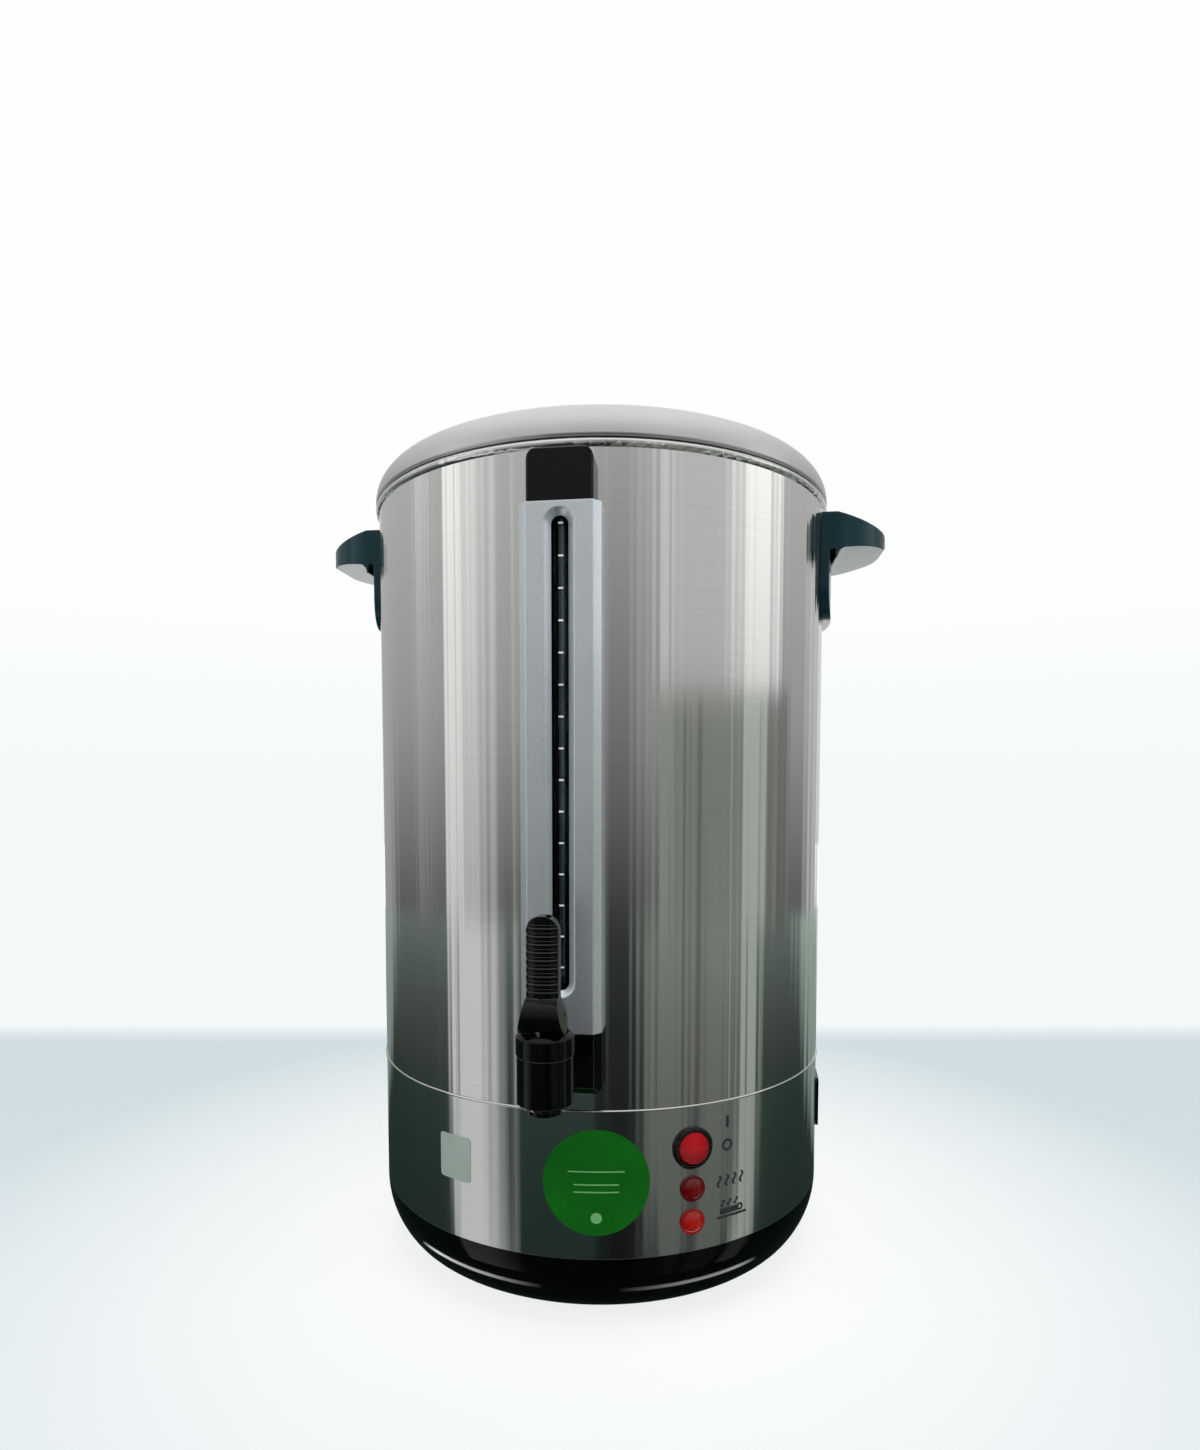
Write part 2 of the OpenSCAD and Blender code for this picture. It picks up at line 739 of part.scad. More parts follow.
// The head and the tap block from the side, with a bevel along one end.
module end_side(z0, z1, bevel, up) {
    back = body_r - 10;
    face = head_face_y;
    polygon(up
        ? [[-back, z0], [-face, z0], [-face, z1 - bevel], [bevel - face, z1], [-back, z1]]
        : [[-back, z1], [-face, z1], [-face, z0 + bevel], [bevel - face, z0], [-back, z0]]);
}

module gauge_end(z0, z1, up) {
    w = up ? head_w : gauge_w;
    bevel = up ? head_bevel : cover_bevel;
    corner = up ? head_corner_r : block_corner_r;
    round_z = up ? z1 - corner : z0 + corner;
    intersection() {
        translate([0, 0, z0]) linear_extrude(z1 - z0) gauge_plan(w, head_face_y, bevel);
        translate([-far / 2, 0, 0]) rotate([90, 0, 90]) linear_extrude(far)
            end_side(z0, z1, bevel, up);
        rotate([90, 0, 0]) linear_extrude(far) {
            for (x = [-1, 1]) translate([x * (w / 2 - corner), round_z]) circle(corner);
            translate([-w / 2, up ? z0 : round_z]) square([w, up ? round_z - z0 : z1 - round_z]);
            translate([corner - w / 2, z0]) square([w - 2 * corner, z1 - z0]);
        }
    }
}

module gauge_carrier() color(black) difference() {
    union() {
        gauge_end(cover_z1, head_z1, true);
        gauge_end(block_z0, cover_z0, false);
        translate([-carrier_w / 2, -body_r - carrier_back_t, cover_z0 - 1])
            cube([carrier_w, carrier_back_t + 10, cover_z1 - cover_z0 + 1]);
        translate([-carrier_w / 2, -socket_front_y, cover_z0 - 1])
            cube([carrier_w, socket_front_y - body_r + 10, socket_z1 - cover_z0 + 1]);
        translate([-carrier_w / 2, -socket_front_y, cover_z1 - slot_top])
            cube([carrier_w, socket_front_y - body_r + 10, slot_top]);
    }
    core(body_r + seat_gap);
    radial(0, tap_z) cylinder(d = shank_d + 2 * hole_gap, h = far);
    radial(0, tap_z) cylinder(d = gasket_d + 2 * seat_gap, h = body_r + gasket_t);
    translate([0, -tube_y, low_socket_z0]) cylinder(d = seal_d + 2 * seat_gap, h = seal_l + 1);
    translate([0, -tube_y, tap_z]) cylinder(d = pickup_d, h = low_socket_z0 - tap_z + 1);
    translate([0, -tube_y, top_socket_z0 - 1]) cylinder(d = seal_d + 2 * seat_gap, h = seal_l + 1);
    translate([0, -tube_y, cover_z1 - slot_top - 1])
        cylinder(d = tube_d + 2 * hole_gap, h = slot_top);
    translate([0, -tube_y, top_socket_z0]) cylinder(d = vent_d, h = far);
    radial(0, gauge_screw_z)
        cylinder(d = gauge_screw_d + 2 * run_gap, h = body_r + gauge_screw_reach);
}

// The slot: a flared opening with round ends.
module cover_slot() {
    end_low = cover_z0 + slot_low + slot_flare / 2;
    end_top = cover_z1 - slot_top - slot_flare / 2;
    over = 1;
    grow = (slot_flare - slot_w) / 2 / cover_face * over;
    for (z = [end_low, end_top]) radial(0, z) translate([0, 0, cover_inner_y - over])
        cylinder(d1 = slot_w - 2 * grow, d2 = slot_flare + 2 * grow, h = cover_face + 2 * over);
    translate([0, 0, end_low]) linear_extrude(end_top - end_low) polygon([
        [grow - slot_w / 2, over - cover_inner_y], [slot_w / 2 - grow, over - cover_inner_y],
        [slot_flare / 2 + grow, -cover_face_y - over], [-slot_flare / 2 - grow, -cover_face_y - over]
    ]);
}

module gauge_cover() color(silver) difference() {
    translate([0, 0, cover_z0 + cover_end_gap])
        linear_extrude(cover_z1 - cover_z0 - 2 * cover_end_gap) difference() {
            gauge_plan(gauge_w, cover_face_y, cover_bevel);
            translate([0, -cover_inner_y / 2])
                square([gauge_w - 2 * cover_wall, cover_inner_y], center = true);
        }
    core(body_r + 3 * seat_gap);
    cover_slot();
}

module gauge_tube() color(glass) translate([0, -tube_y, tube_z0]) difference() {
    cylinder(d = tube_d, h = tube_z1 - tube_z0);
    translate([0, 0, -1]) cylinder(d = tube_d - 2 * tube_wall, h = far);
}

module tube_seal(z0, z1) translate([0, -tube_y, z0]) difference() {
    cylinder(d = seal_d, h = z1 - z0);
    translate([0, 0, -1]) cylinder(d = tube_d + 2 * run_gap, h = z1 - z0 + 2);
}

module gauge_low_seal() color(silicone) tube_seal(tube_z0, socket_z1);
module gauge_top_seal() color(silicone) tube_seal(top_socket_z0, tube_z1);

module gauge_screw() color(zinc) radial(0, gauge_screw_z) {
    seat = body_r - wall_t - gauge_washer_t;
    translate([0, 0, seat - gauge_screw_head_t])
        cylinder(d = gauge_screw_head_d, h = gauge_screw_head_t);
    translate([0, 0, seat - 1]) cylinder(d = gauge_screw_d, h = body_r + gauge_screw_reach - seat);
}

module gauge_washer() color(silicone) intersection() {
    radial(0, gauge_screw_z) translate([0, 0, body_r - wall_t - gauge_washer_t]) difference() {
        cylinder(d = gauge_washer_d, h = 3 * gauge_washer_t);
        translate([0, 0, -1]) cylinder(d = gauge_screw_d + 2 * hole_gap, h = far);
    }
    core(body_r - wall_t);
}

module tap_body() color(black) difference() {
    union() {
        translate([0, -tap_y, 0]) rotate_extrude() polygon([
            [0, barrel_z0 - nozzle_l], [nozzle_d / 2, barrel_z0 - nozzle_l],
            [nozzle_d / 2, barrel_z0], [barrel_d / 2 - barrel_edge, barrel_z0],
            [barrel_d / 2, barrel_z0 + barrel_edge], [barrel_d / 2, barrel_z1],
            [thread_d / 2, barrel_z1], [thread_d / 2, barrel_z1 + thread_h],
            [0, barrel_z1 + thread_h]
        ]);
        radial(0, tap_z) translate([0, 0, head_face_y + seat_gap])
            cylinder(d = neck_d, h = tap_y - head_face_y - seat_gap);
        radial(0, tap_z) translate([0, 0, shank_end_y])
            cylinder(d = shank_d, h = tap_y - shank_end_y);
    }
    translate([0, -tap_y, 0]) {
        translate([0, 0, chamber_z0]) difference() {
            cylinder(d = chamber_d, h = far);
            cylinder(d = water_d + 2 * seat_rim, h = seat_z - chamber_z0);
        }
        cylinder(d = water_d, h = seat_z + 1);
    }
    radial(0, tap_z) translate([0, 0, shank_end_y - 1])
        cylinder(d = water_d, h = tap_y - chamber_d / 2 + 4 - shank_end_y);
    translate([0, -tube_y, tap_z]) cylinder(d = pickup_d, h = shank_d);
}

module tap_outer_gasket() color(silicone) difference() {
    radial(0, tap_z) translate([0, 0, body_r - 3]) difference() {
        cylinder(d = gasket_d, h = gasket_t + 3 - seat_gap);
        translate([0, 0, -1]) cylinder(d = shank_d + 2 * seat_gap, h = gasket_t + 5);
    }
    core(body_r + seat_gap);
}

module tap_inner_gasket() color(silicone) intersection() {
    radial(0, tap_z) translate([0, 0, body_r - wall_t - gasket_t]) difference() {
        cylinder(d = gasket_d, h = gasket_t + 2);
        translate([0, 0, -1]) cylinder(d = shank_d + 2 * seat_gap, h = gasket_t + 4);
    }
    core(body_r - wall_t - seat_gap);
}

module tap_nut() color(brass)
    radial(0, tap_z) translate([0, 0, body_r - wall_t - gasket_t - tap_nut_h - seat_gap]) difference() {
        linear_extrude(tap_nut_h) hexagon(tap_nut_af);
        translate([0, 0, -1]) cylinder(d = shank_d + 2 * run_gap, h = tap_nut_h + 2);
    }

module tap_bonnet() color(black) translate([0, -tap_y, 0]) difference() {
    r = bonnet_d / 2;
    rotate_extrude() polygon([
        [0, bonnet_z0], [r - bonnet_low_edge, bonnet_z0], [r, bonnet_z0 + bonnet_low_edge],
        [r, bonnet_z1 - bonnet_edge], [r - bonnet_edge, bonnet_z1], [0, bonnet_z1]
    ]);
    translate([0, 0, bonnet_z0 - 1])
        cylinder(d = thread_d + 2 * run_gap, h = thread_h + 1 + seat_gap);
    translate([0, 0, bonnet_z0]) cylinder(d = chamber_d, h = bonnet_inner_z - bonnet_z0);
    cylinder(d = stem_d + 2 * run_gap, h = far);
}

module tap_stem() color(silver) translate([0, -tap_y, 0]) difference() {
    union() {
        translate([0, 0, cup_z0 + cup_floor]) cylinder(d = stem_d, h = pin_z - cup_z0 - cup_floor);
        translate([0, 0, collar_z]) cylinder(d = collar_d, h = collar_t);
        translate([-eye_w / 2, 0, pin_z]) rotate([0, 90, 0]) cylinder(r = eye_r, h = eye_w);
    }
    translate([-far / 2, 0, pin_z]) rotate([0, 90, 0]) cylinder(d = pin_d + 2 * run_gap, h = far);
}

module seat_cup() color(silicone) translate([0, -tap_y, 0]) difference() {
    waist_r = (collar_d - 1) / 2;
    rotate_extrude() polygon([
        [0, cup_z0], [cup_d / 2, cup_z0], [cup_d / 2, cup_z0 + cup_lip],
        [waist_r, cup_z0 + cup_lip + cup_slope], [waist_r, collar_z], [0, collar_z]
    ]);
    translate([0, 0, cup_z0 + cup_floor]) cylinder(d = stem_d, h = cup_h);
}

// The spring's centre line, in steps of a part of a curl.
function spring_point(i) = let(
        pitch = (spring_z1 - spring_z0 - spring_wire) / spring_turns,
        turn = i / curl_steps)
    [spring_d / 2 * cos(360 * turn), spring_d / 2 * sin(360 * turn),
        spring_z0 + spring_wire / 2 + pitch * turn];

// Rings of points round the centre line, joined by triangles and closed at both ends.
module tap_spring() {
    rings = spring_turns * curl_steps;
    sides = wire_sides;
    ring_points = [for (i = [0 : rings], k = [0 : sides - 1]) let(
            a = 360 * i / curl_steps, b = 360 * k / sides, out = [cos(a), sin(a), 0])
        spring_point(i) + spring_wire / 2 * (cos(b) * out + sin(b) * [0, 0, 1])];
    side_faces = [for (i = [0 : rings - 1], k = [0 : sides - 1], half = [0, 1]) let(
            p = i * sides + k, q = i * sides + (k + 1) % sides)
        half == 0 ? [p, q, p + sides] : [q, q + sides, p + sides]];
    first = [for (k = [1 : sides - 2]) [0, k + 1, k]];
    last = [for (k = [1 : sides - 2]) [rings * sides, rings * sides + k, rings * sides + k + 1]];
    gaps = [for (i = [0 : rings - curl_steps])
        norm(spring_point(i + curl_steps) - spring_point(i)) - spring_wire];
    echo(str("least gap between the spring's curls: ", min(gaps), " mm"));
    color(zinc) translate([0, -tap_y, 0])
        polyhedron(ring_points, concat(side_faces, first, last), convexity = 10);
}

// The fork's outline from the front: wide at the cam, drawn in to the paddle.
module fork_front() {
    low = pin_z - cam_r - 1;
    flank = pin_z - cam_r * 0.8;
    polygon([
        [-fork_w / 2, low], [fork_w / 2, low], [fork_w / 2, flank],
        [paddle_w / 2, paddle_z0 + paddle_lap], [-paddle_w / 2, paddle_z0 + paddle_lap],
        [-fork_w / 2, flank]
    ]);
}

// The fork from the side: the off-centre cam, the hub round the pin and the arm up to the paddle.
module fork_side() {
    translate([-tap_y - cam_off, pin_z]) circle(cam_r);
    translate([-tap_y, pin_z]) circle(hub_r);
    polygon([
        [-tap_y - cam_off - cam_r, pin_z], [-paddle_y - paddle_t / 2, paddle_z0 + paddle_lap],
        [-paddle_y + paddle_t / 2, paddle_z0 + paddle_lap], [hub_r - tap_y, pin_z]
    ]);
}

// The room the stem and its eye sweep in the fork as the lever is pulled, seen from the side.
module stem_room() translate([-tap_y, pin_z]) {
    half = stem_d / 2 + eye_room;
    along = [-sin(lever_pull), -cos(lever_pull)];
    front = [-cos(lever_pull), sin(lever_pull)] * half;
    circle(eye_r + eye_room);
    polygon([front, front + far * along, [far, -far], [far, paddle_lap], [0, paddle_lap]]);
}

// The paddle's section: flat at the back, bowed in front.
module paddle_plan() intersection() {
    translate([-paddle_w / 2, -paddle_y - paddle_t / 2]) square([paddle_w, paddle_t]);
    translate([0, -paddle_y - paddle_t / 2 + paddle_r]) circle(paddle_r);
}

module paddle() difference() {
    intersection() {
        translate([0, 0, paddle_z0]) linear_extrude(paddle_z1 - paddle_z0) paddle_plan();
        rotate([90, 0, 0]) linear_extrude(far) {
            r = paddle_top_r;
            for (x = [-1, 1]) translate([x * (paddle_w / 2 - r), paddle_z1 - r]) circle(r);
            translate([-paddle_w / 2, paddle_z0]) square([paddle_w, paddle_z1 - r - paddle_z0]);
            translate([r - paddle_w / 2, paddle_z0])
                square([paddle_w - 2 * r, paddle_z1 - paddle_z0]);
        }
    }
    for (i = [0 : groove_count - 1])
        translate([0, 0, paddle_z1 - groove_top - i * groove_pitch - groove_t])
            linear_extrude(groove_t) difference() {
                translate([-paddle_w, -paddle_y - paddle_t]) square([2 * paddle_w, paddle_t * 0.9]);
                translate([0, -paddle_y - paddle_t / 2 + paddle_r]) circle(paddle_r - groove_depth);
            }
}

module tap_lever() color(black) difference() {
    union() {
        paddle();
        intersection() {
            translate([-fork_w / 2, 0, 0]) rotate([90, 0, 90]) linear_extrude(fork_w) fork_side();
            translate([0, far / 4, 0]) rotate([90, 0, 0]) linear_extrude(far) fork_front();
        }
    }
    translate([-cheek_in, 0, 0]) rotate([90, 0, 90]) linear_extrude(2 * cheek_in) stem_room();
    translate([-fork_w, -tap_y, pin_z]) rotate([0, 90, 0]) cylinder(d = pin_d, h = 2 * fork_w);
}

module lever_pin() color(zinc)
    translate([-pin_half, -tap_y, pin_z]) rotate([0, 90, 0]) cylinder(d = pin_d, h = 2 * pin_half);

module switch_body() color(black) difference() {
    blade = switch_blade;
    union() {
        difference() {
            radial(control_angle, switch_z) translate([0, 0, body_r]) rotate_extrude() polygon([
                [0, -bezel_sink], [switch_d / 2, -bezel_sink], [switch_d / 2, bezel_t / 2],
                [switch_d / 2 - bezel_edge, bezel_t], [0, bezel_t]
            ]);
            core(body_r + seat_gap);
        }
        radial(control_angle, switch_z) translate([0, 0, body_r - switch_depth]) {
            cylinder(d = switch_barrel_d, h = switch_depth + bezel_t / 2);
            for (y = [-switch_blade_y, switch_blade_y])
                translate([-blade[0] / 2, y - blade[1] / 2, 1 - blade[2]]) cube(blade);
        }
    }
    radial(control_angle, switch_z) {
        translate([0, 0, rocker_pivot - rocker_floor]) cylinder(r = rocker_bore_r, h = far);
        translate([-far / 2, 0, rocker_pivot]) rotate([0, 90, 0])
            cylinder(d = rocker_axle_d + 2 * run_gap, h = far);
    }
}

module switch_rocker() color(red) radial(control_angle, switch_z) translate([0, 0, rocker_pivot])
    rotate([-rocker_tilt, 0, 0]) {
        r = rocker_r;
        end_rise = rocker_rise + r * tan(rocker_tilt);
        intersection() {
            sphere(r);
            rotate([90, 0, 90]) translate([0, 0, -r]) linear_extrude(2 * r) polygon([
                [-r, -rocker_low], [r, -rocker_low], [r, end_rise], [0, rocker_rise], [-r, end_rise]
            ]);
        }
        translate([-rocker_axle_l / 2, 0, 0]) rotate([0, 90, 0])
            cylinder(d = rocker_axle_d, h = rocker_axle_l);
    }

module lamp_lens(z) color(red) difference() {
    dome_r = (pow(lamp_d / 2 - lens_rim, 2) + lens_dome_h * lens_dome_h) / 2 / lens_dome_h;
    radial(control_angle, z) translate([0, 0, body_r]) {
        translate([0, 0, -lens_sink]) cylinder(d = lamp_d, h = lens_sink + lens_rim_t);
        intersection() {
            translate([0, 0, lens_rim_t + lens_dome_h - dome_r]) sphere(dome_r);
            cylinder(d = lamp_d, h = far);
        }
    }
    difference() {
        core(body_r + seat_gap);
        radial(control_angle, z) translate([0, 0, body_r - lens_sink]) cylinder(d = spigot_d, h = far);
    }
}

module heating_lamp_lens() lamp_lens(heating_lamp_z);
module warm_lamp_lens() lamp_lens(warm_lamp_z);

module lamp_holders() color(black) for (z = [heating_lamp_z, warm_lamp_z]) difference() {
    blade = lamp_blade;
    radial(control_angle, z) translate([0, 0, body_r - lamp_depth]) difference() {
        union() {
            cylinder(d = lamp_barrel_d, h = lamp_depth + 4);
            for (x = [-lamp_blade_x, lamp_blade_x])
                translate([x - blade[0] / 2, -blade[1] / 2, 1 - blade[2]]) cube(blade);
        }
        translate([0, 0, lamp_floor]) cylinder(d = lamp_bore_d, h = far);
    }
    difference() {
        core(2 * body_r);
        core(body_r);
    }
}

module lamp_nuts() color(zinc) for (z = [heating_lamp_z, warm_lamp_z]) intersection() {
    radial(control_angle, z) translate([0, 0, body_r - wall_t - lamp_nut_t]) difference() {
        linear_extrude(lamp_nut_t + 3) hexagon(lamp_nut_af);
        translate([0, 0, -1]) cylinder(d = lamp_barrel_d + 2 * run_gap, h = far);
    }
    core(body_r - wall_t - seat_gap);
}

// The mouth of the inlet: two corners are cut, as on the usual three-pin appliance socket.
module inlet_mouth() {
    w = inlet_w - 2 * inlet_wall;
    h = inlet_h - 2 * inlet_wall;
    polygon([
        [-w / 2, -h / 2], [w / 2 - inlet_cut, -h / 2], [w / 2, inlet_cut - h / 2],
        [w / 2, h / 2 - inlet_cut], [w / 2 - inlet_cut, h / 2], [-w / 2, h / 2]
    ]);
}

module inlet_body() color(black) difference() {
    union() {
        difference() {
            radial(inlet_angle, inlet_z) translate([0, 0, body_r - inlet_flange])
                linear_extrude(inlet_flange + inlet_face) rounded_rect(
                    inlet_w + 2 * inlet_flange, inlet_h + 2 * inlet_flange, inlet_flange_r);
            core(body_r + seat_gap);
        }
        radial(inlet_angle, inlet_z) translate([0, 0, body_r - inlet_depth])
            linear_extrude(inlet_depth + inlet_face / 2)
                rounded_rect(inlet_w, inlet_h, inlet_corner_r);
    }
    radial(inlet_angle, inlet_z) {
        translate([0, 0, body_r + inlet_face - inlet_socket_depth])
            linear_extrude(far) inlet_mouth();
        for (p = inlet_pin_places) translate(p)
            linear_extrude(far) square(inlet_pin + 2 * run_gap * [1, 1], center = true);
    }
}

module inlet_pins() color(brass) radial(inlet_angle, inlet_z)
    for (p = inlet_pin_places) translate([p[0], p[1], body_r - inlet_depth - inlet_pin_tail])
        linear_extrude(inlet_depth + inlet_pin_tail + inlet_face - inlet_pin_in)
            square(inlet_pin, center = true);

module heat_plate() color(silver) difference() {
    translate([0, 0, heat_z0]) cylinder(d = heat_plate_d, h = heat_plate_t);
    translate([0, 0, heat_z0]) rotate_extrude()
        translate([element_ring_d / 2, 0]) circle(d = element_d + 2 * seat_gap);
    translate([0, 0, heat_z0 - 1]) cylinder(d = tie_d + 2 * hole_gap, h = heat_plate_t + 2);
    for (x = [-1, 1], s = [-1, 1]) translate([x * thermostat_r, s * thermostat_ear, heat_z0 - 1])
        cylinder(d = ear_screw_d + 2 * run_gap, h = ear_screw_l - disc_h + 1);
}

module heating_element() color(zinc) translate([0, 0, heat_z0]) {
    start = 90 - element_arc / 2;
    leg_turn = 2 * asin(element_leg_in / element_ring_d);
    blade = element_blade;
    rotate([0, 0, start]) rotate_extrude(angle = element_arc)
        translate([element_ring_d / 2, 0]) circle(d = element_d);
    for (a = [start + leg_turn, start + element_arc - leg_turn])
        rotate([0, 0, a]) translate([element_ring_d / 2, 0, -element_leg]) {
            cylinder(d = element_leg_d, h = element_leg);
            translate([-blade[0] / 2, -blade[1] / 2, 1 - blade[2]]) cube(blade);
        }
}

// A snap-disc thermostat that hangs under the heat plate on two ears.
module snap_disc() {
    blade = disc_blade;
    translate([0, 0, -disc_h]) cylinder(d = thermostat_d, h = disc_h - seat_gap);
    translate([0, 0, -disc_body_h]) cylinder(d = thermostat_d - 1, h = disc_body_h - disc_h + 1);
    difference() {
        translate([0, 0, -disc_h]) linear_extrude(disc_flange_t)
            rounded_rect(thermostat_d * 0.7, 2 * (thermostat_ear + ear_end), disc_flange_r);
        for (s = [-1, 1]) translate([0, s * thermostat_ear, -disc_h - 1])
            cylinder(d = ear_screw_d + 2 * hole_gap, h = disc_h);
    }
    for (x = [-disc_blade_x, disc_blade_x])
        translate([x - blade[0] / 2, -blade[1] / 2, 1 - disc_body_h - blade[2]]) cube(blade);
}

module control_thermostat() color(silver) translate([thermostat_r, 0, heat_z0]) snap_disc();
module boil_dry_cutout() color(silver) translate([-thermostat_r, 0, heat_z0]) snap_disc();

module thermostat_screws() color(zinc) for (x = [-1, 1], s = [-1, 1])
    translate([x * thermostat_r, s * thermostat_ear, heat_z0]) {
        translate([0, 0, -disc_h - ear_screw_head[1] - seat_gap])
            cylinder(d = ear_screw_head[0], h = ear_screw_head[1]);
        translate([0, 0, -disc_h - 1]) cylinder(d = ear_screw_d, h = ear_screw_l);
    }

module terminal_block() color(silicone) translate([0, terminal_y, terminal_z0]) difference() {
    translate([-terminal_l / 2, -terminal_w / 2, 0]) cube([terminal_l, terminal_w, terminal_h]);
    for (x = [-1, 0, 1]) translate([x * terminal_pitch, 0, terminal_axis_z]) {
        translate([0, -terminal_w, 0]) rotate([-90, 0, 0]) cylinder(d = terminal_wire_d, h = far);
        for (y = [-1, 1]) translate([0, y * terminal_w / 4, 0])
            cylinder(d = terminal_screw_d + 2 * run_gap, h = terminal_h);
    }
}

module terminal_screws() color(brass) for (x = [-1, 0, 1], y = [-1, 1])
    translate([x * terminal_pitch, terminal_y + y * terminal_w / 4, terminal_z0 + terminal_axis_z - 1])
        cylinder(d = terminal_screw_d, h = terminal_h / 2);

// The filled outline of the lid's dome, drawn in from its outside by an inset.
module dome_outline(inset) {
    arc_sector([0, crown_z], crown_r - inset, 90 - lid_turn, 90);
    translate(lid_shoulder_c) circle(lid_shoulder_r - inset, $fn = 180);
    translate([0, lid_z0]) square([lid_shoulder_c[0], lid_edge_r + lid_shoulder_r * 0.5]);
}

module lid_section() {
    intersection() {
        difference() {
            dome_outline(0);
            dome_outline(wall_t);
        }
        translate([0, lid_shoulder_c[1]]) square([2 * body_r, far]);
    }
    translate([lid_r - lid_edge_r, lid_z0 + lid_edge_r]) circle(lid_edge_r);
}

module lid() color(steel) difference() {
    rotate_extrude($fn = 180) lid_section();
    translate([0, 0, lid_top_z - 5]) cylinder(d = knob_screw_d + 2 * hole_gap, h = 10);
}

// The ring welded inside the lid's edge, whose collar drops into the tank.
module lid_ring() color(steel) rotate_extrude($fn = 180) {
    edge_low = lid_edge_r - wall_t;
    shelf_r = lid_r - lid_edge_r - sqrt(pow(lid_edge_r, 2) - pow(edge_low, 2)) - seat_gap / 2;
    translate([collar_r - wall_t, lid_z0]) square([shelf_r - collar_r + wall_t, wall_t]);
    translate([collar_r - wall_t, lid_z0 - lid_ring_h]) square([wall_t, lid_ring_h + wall_t]);
}

module lid_knob() color(black) difference() {
    r = knob_edge_r;
    z0 = lid_top_z - 2;
    top_z = lid_top_z + knob_h;
    head_z = top_z - knob_head_h;
    edge_x = knob_d / 2 - r;
    low_edge_z = head_z + 2 * r;
    rotate_extrude() {
        polygon([
            [0, z0], [knob_foot_d / 2, z0], [knob_foot_d / 2, lid_top_z + knob_foot_rim],
            [knob_neck_d / 2, lid_top_z + knob_foot_h + knob_flare], [knob_neck_d / 2, head_z],
            [edge_x, head_z + r], [edge_x, top_z - r], [0, top_z - r]
        ]);
        for (z = [low_edge_z, top_z - r]) translate([edge_x, z]) circle(r);
        translate([0, top_z - r]) square([edge_x, r]);
        translate([edge_x, low_edge_z]) square([r, top_z - r - low_edge_z]);
    }
    translate([0, 0, crown_z]) sphere(crown_r, $fn = 360);
    cylinder(d = knob_screw_d + 2 * run_gap, h = lid_top_z + knob_h * 0.6);
}

module knob_washer() color(zinc) intersection() {
    difference() {
        translate([0, 0, knob_seat_z]) cylinder(d = knob_washer_d, h = 2 * knob_washer_t);
        cylinder(d = knob_screw_d + 2 * hole_gap, h = far * 2);
    }
    translate([0, 0, crown_z]) sphere(crown_r - wall_t, $fn = 360);
}

module knob_screw() color(zinc) {
    translate([0, 0, knob_seat_z - knob_screw_head_t])
        cylinder(d = knob_screw_head_d, h = knob_screw_head_t);
    translate([0, 0, knob_seat_z - 1])
        cylinder(d = knob_screw_d, h = knob_h * 0.55 + wall_t + knob_washer_t);
}

tank();
skirt();
skirt_ring();
base();
foot_ring();
tie_rod();
tie_washer();
tie_nut();
handle_left();
handle_right();
handle_studs();
handle_nuts();
gauge_carrier();
gauge_cover();
gauge_tube();
gauge_low_seal();
gauge_top_seal();
gauge_screw();
gauge_washer();
tap_body();
tap_outer_gasket();
tap_inner_gasket();
tap_nut();
tap_bonnet();
tap_stem();
seat_cup();
tap_spring();
tap_lever();
lever_pin();
switch_body();
switch_rocker();
heating_lamp_lens();
warm_lamp_lens();
lamp_holders();
lamp_nuts();
inlet_body();
inlet_pins();
heat_plate();
heating_element();
control_thermostat();
boil_dry_cutout();
thermostat_screws();
terminal_block();
terminal_screws();
lid();
lid_ring();
lid_knob();
knob_screw();
knob_washer();
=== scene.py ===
# %% [markdown]
# # A steel drinks urn
# The imported model brings every piece of the urn at its real size. This lesson rebuilds the mouldings
# whose curves catch the light, gives every piece its finish, and sets a small studio round it.
# The front of the urn looks along -Y, Z = 0 is the table, and all lengths are in metres.

# %% Load the imported model
import json
import math
import bmesh
import bpy
from mathutils import Matrix, Vector

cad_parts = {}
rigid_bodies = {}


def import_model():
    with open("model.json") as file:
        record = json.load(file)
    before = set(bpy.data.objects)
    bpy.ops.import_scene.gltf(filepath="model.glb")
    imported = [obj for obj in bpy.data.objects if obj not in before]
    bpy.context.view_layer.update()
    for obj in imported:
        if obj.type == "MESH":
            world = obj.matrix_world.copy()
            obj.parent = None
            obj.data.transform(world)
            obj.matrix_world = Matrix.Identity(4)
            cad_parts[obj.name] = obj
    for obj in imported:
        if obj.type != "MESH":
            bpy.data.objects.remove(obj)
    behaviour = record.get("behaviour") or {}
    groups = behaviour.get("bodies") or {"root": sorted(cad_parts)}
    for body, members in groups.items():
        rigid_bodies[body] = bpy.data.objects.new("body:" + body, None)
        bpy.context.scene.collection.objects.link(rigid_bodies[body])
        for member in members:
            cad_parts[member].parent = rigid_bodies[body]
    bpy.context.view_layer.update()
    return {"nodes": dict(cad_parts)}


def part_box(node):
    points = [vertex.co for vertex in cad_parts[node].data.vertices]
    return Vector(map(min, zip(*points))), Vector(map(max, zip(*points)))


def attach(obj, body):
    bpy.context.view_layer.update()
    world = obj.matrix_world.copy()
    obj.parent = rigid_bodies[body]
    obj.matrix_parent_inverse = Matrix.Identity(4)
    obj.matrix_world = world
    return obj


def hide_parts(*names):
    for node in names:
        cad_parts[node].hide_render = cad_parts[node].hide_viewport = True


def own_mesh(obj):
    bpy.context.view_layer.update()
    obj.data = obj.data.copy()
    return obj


for start_object in list(bpy.data.objects):
    bpy.data.objects.remove(start_object)
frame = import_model()
cad = frame["nodes"]
MM = 0.001

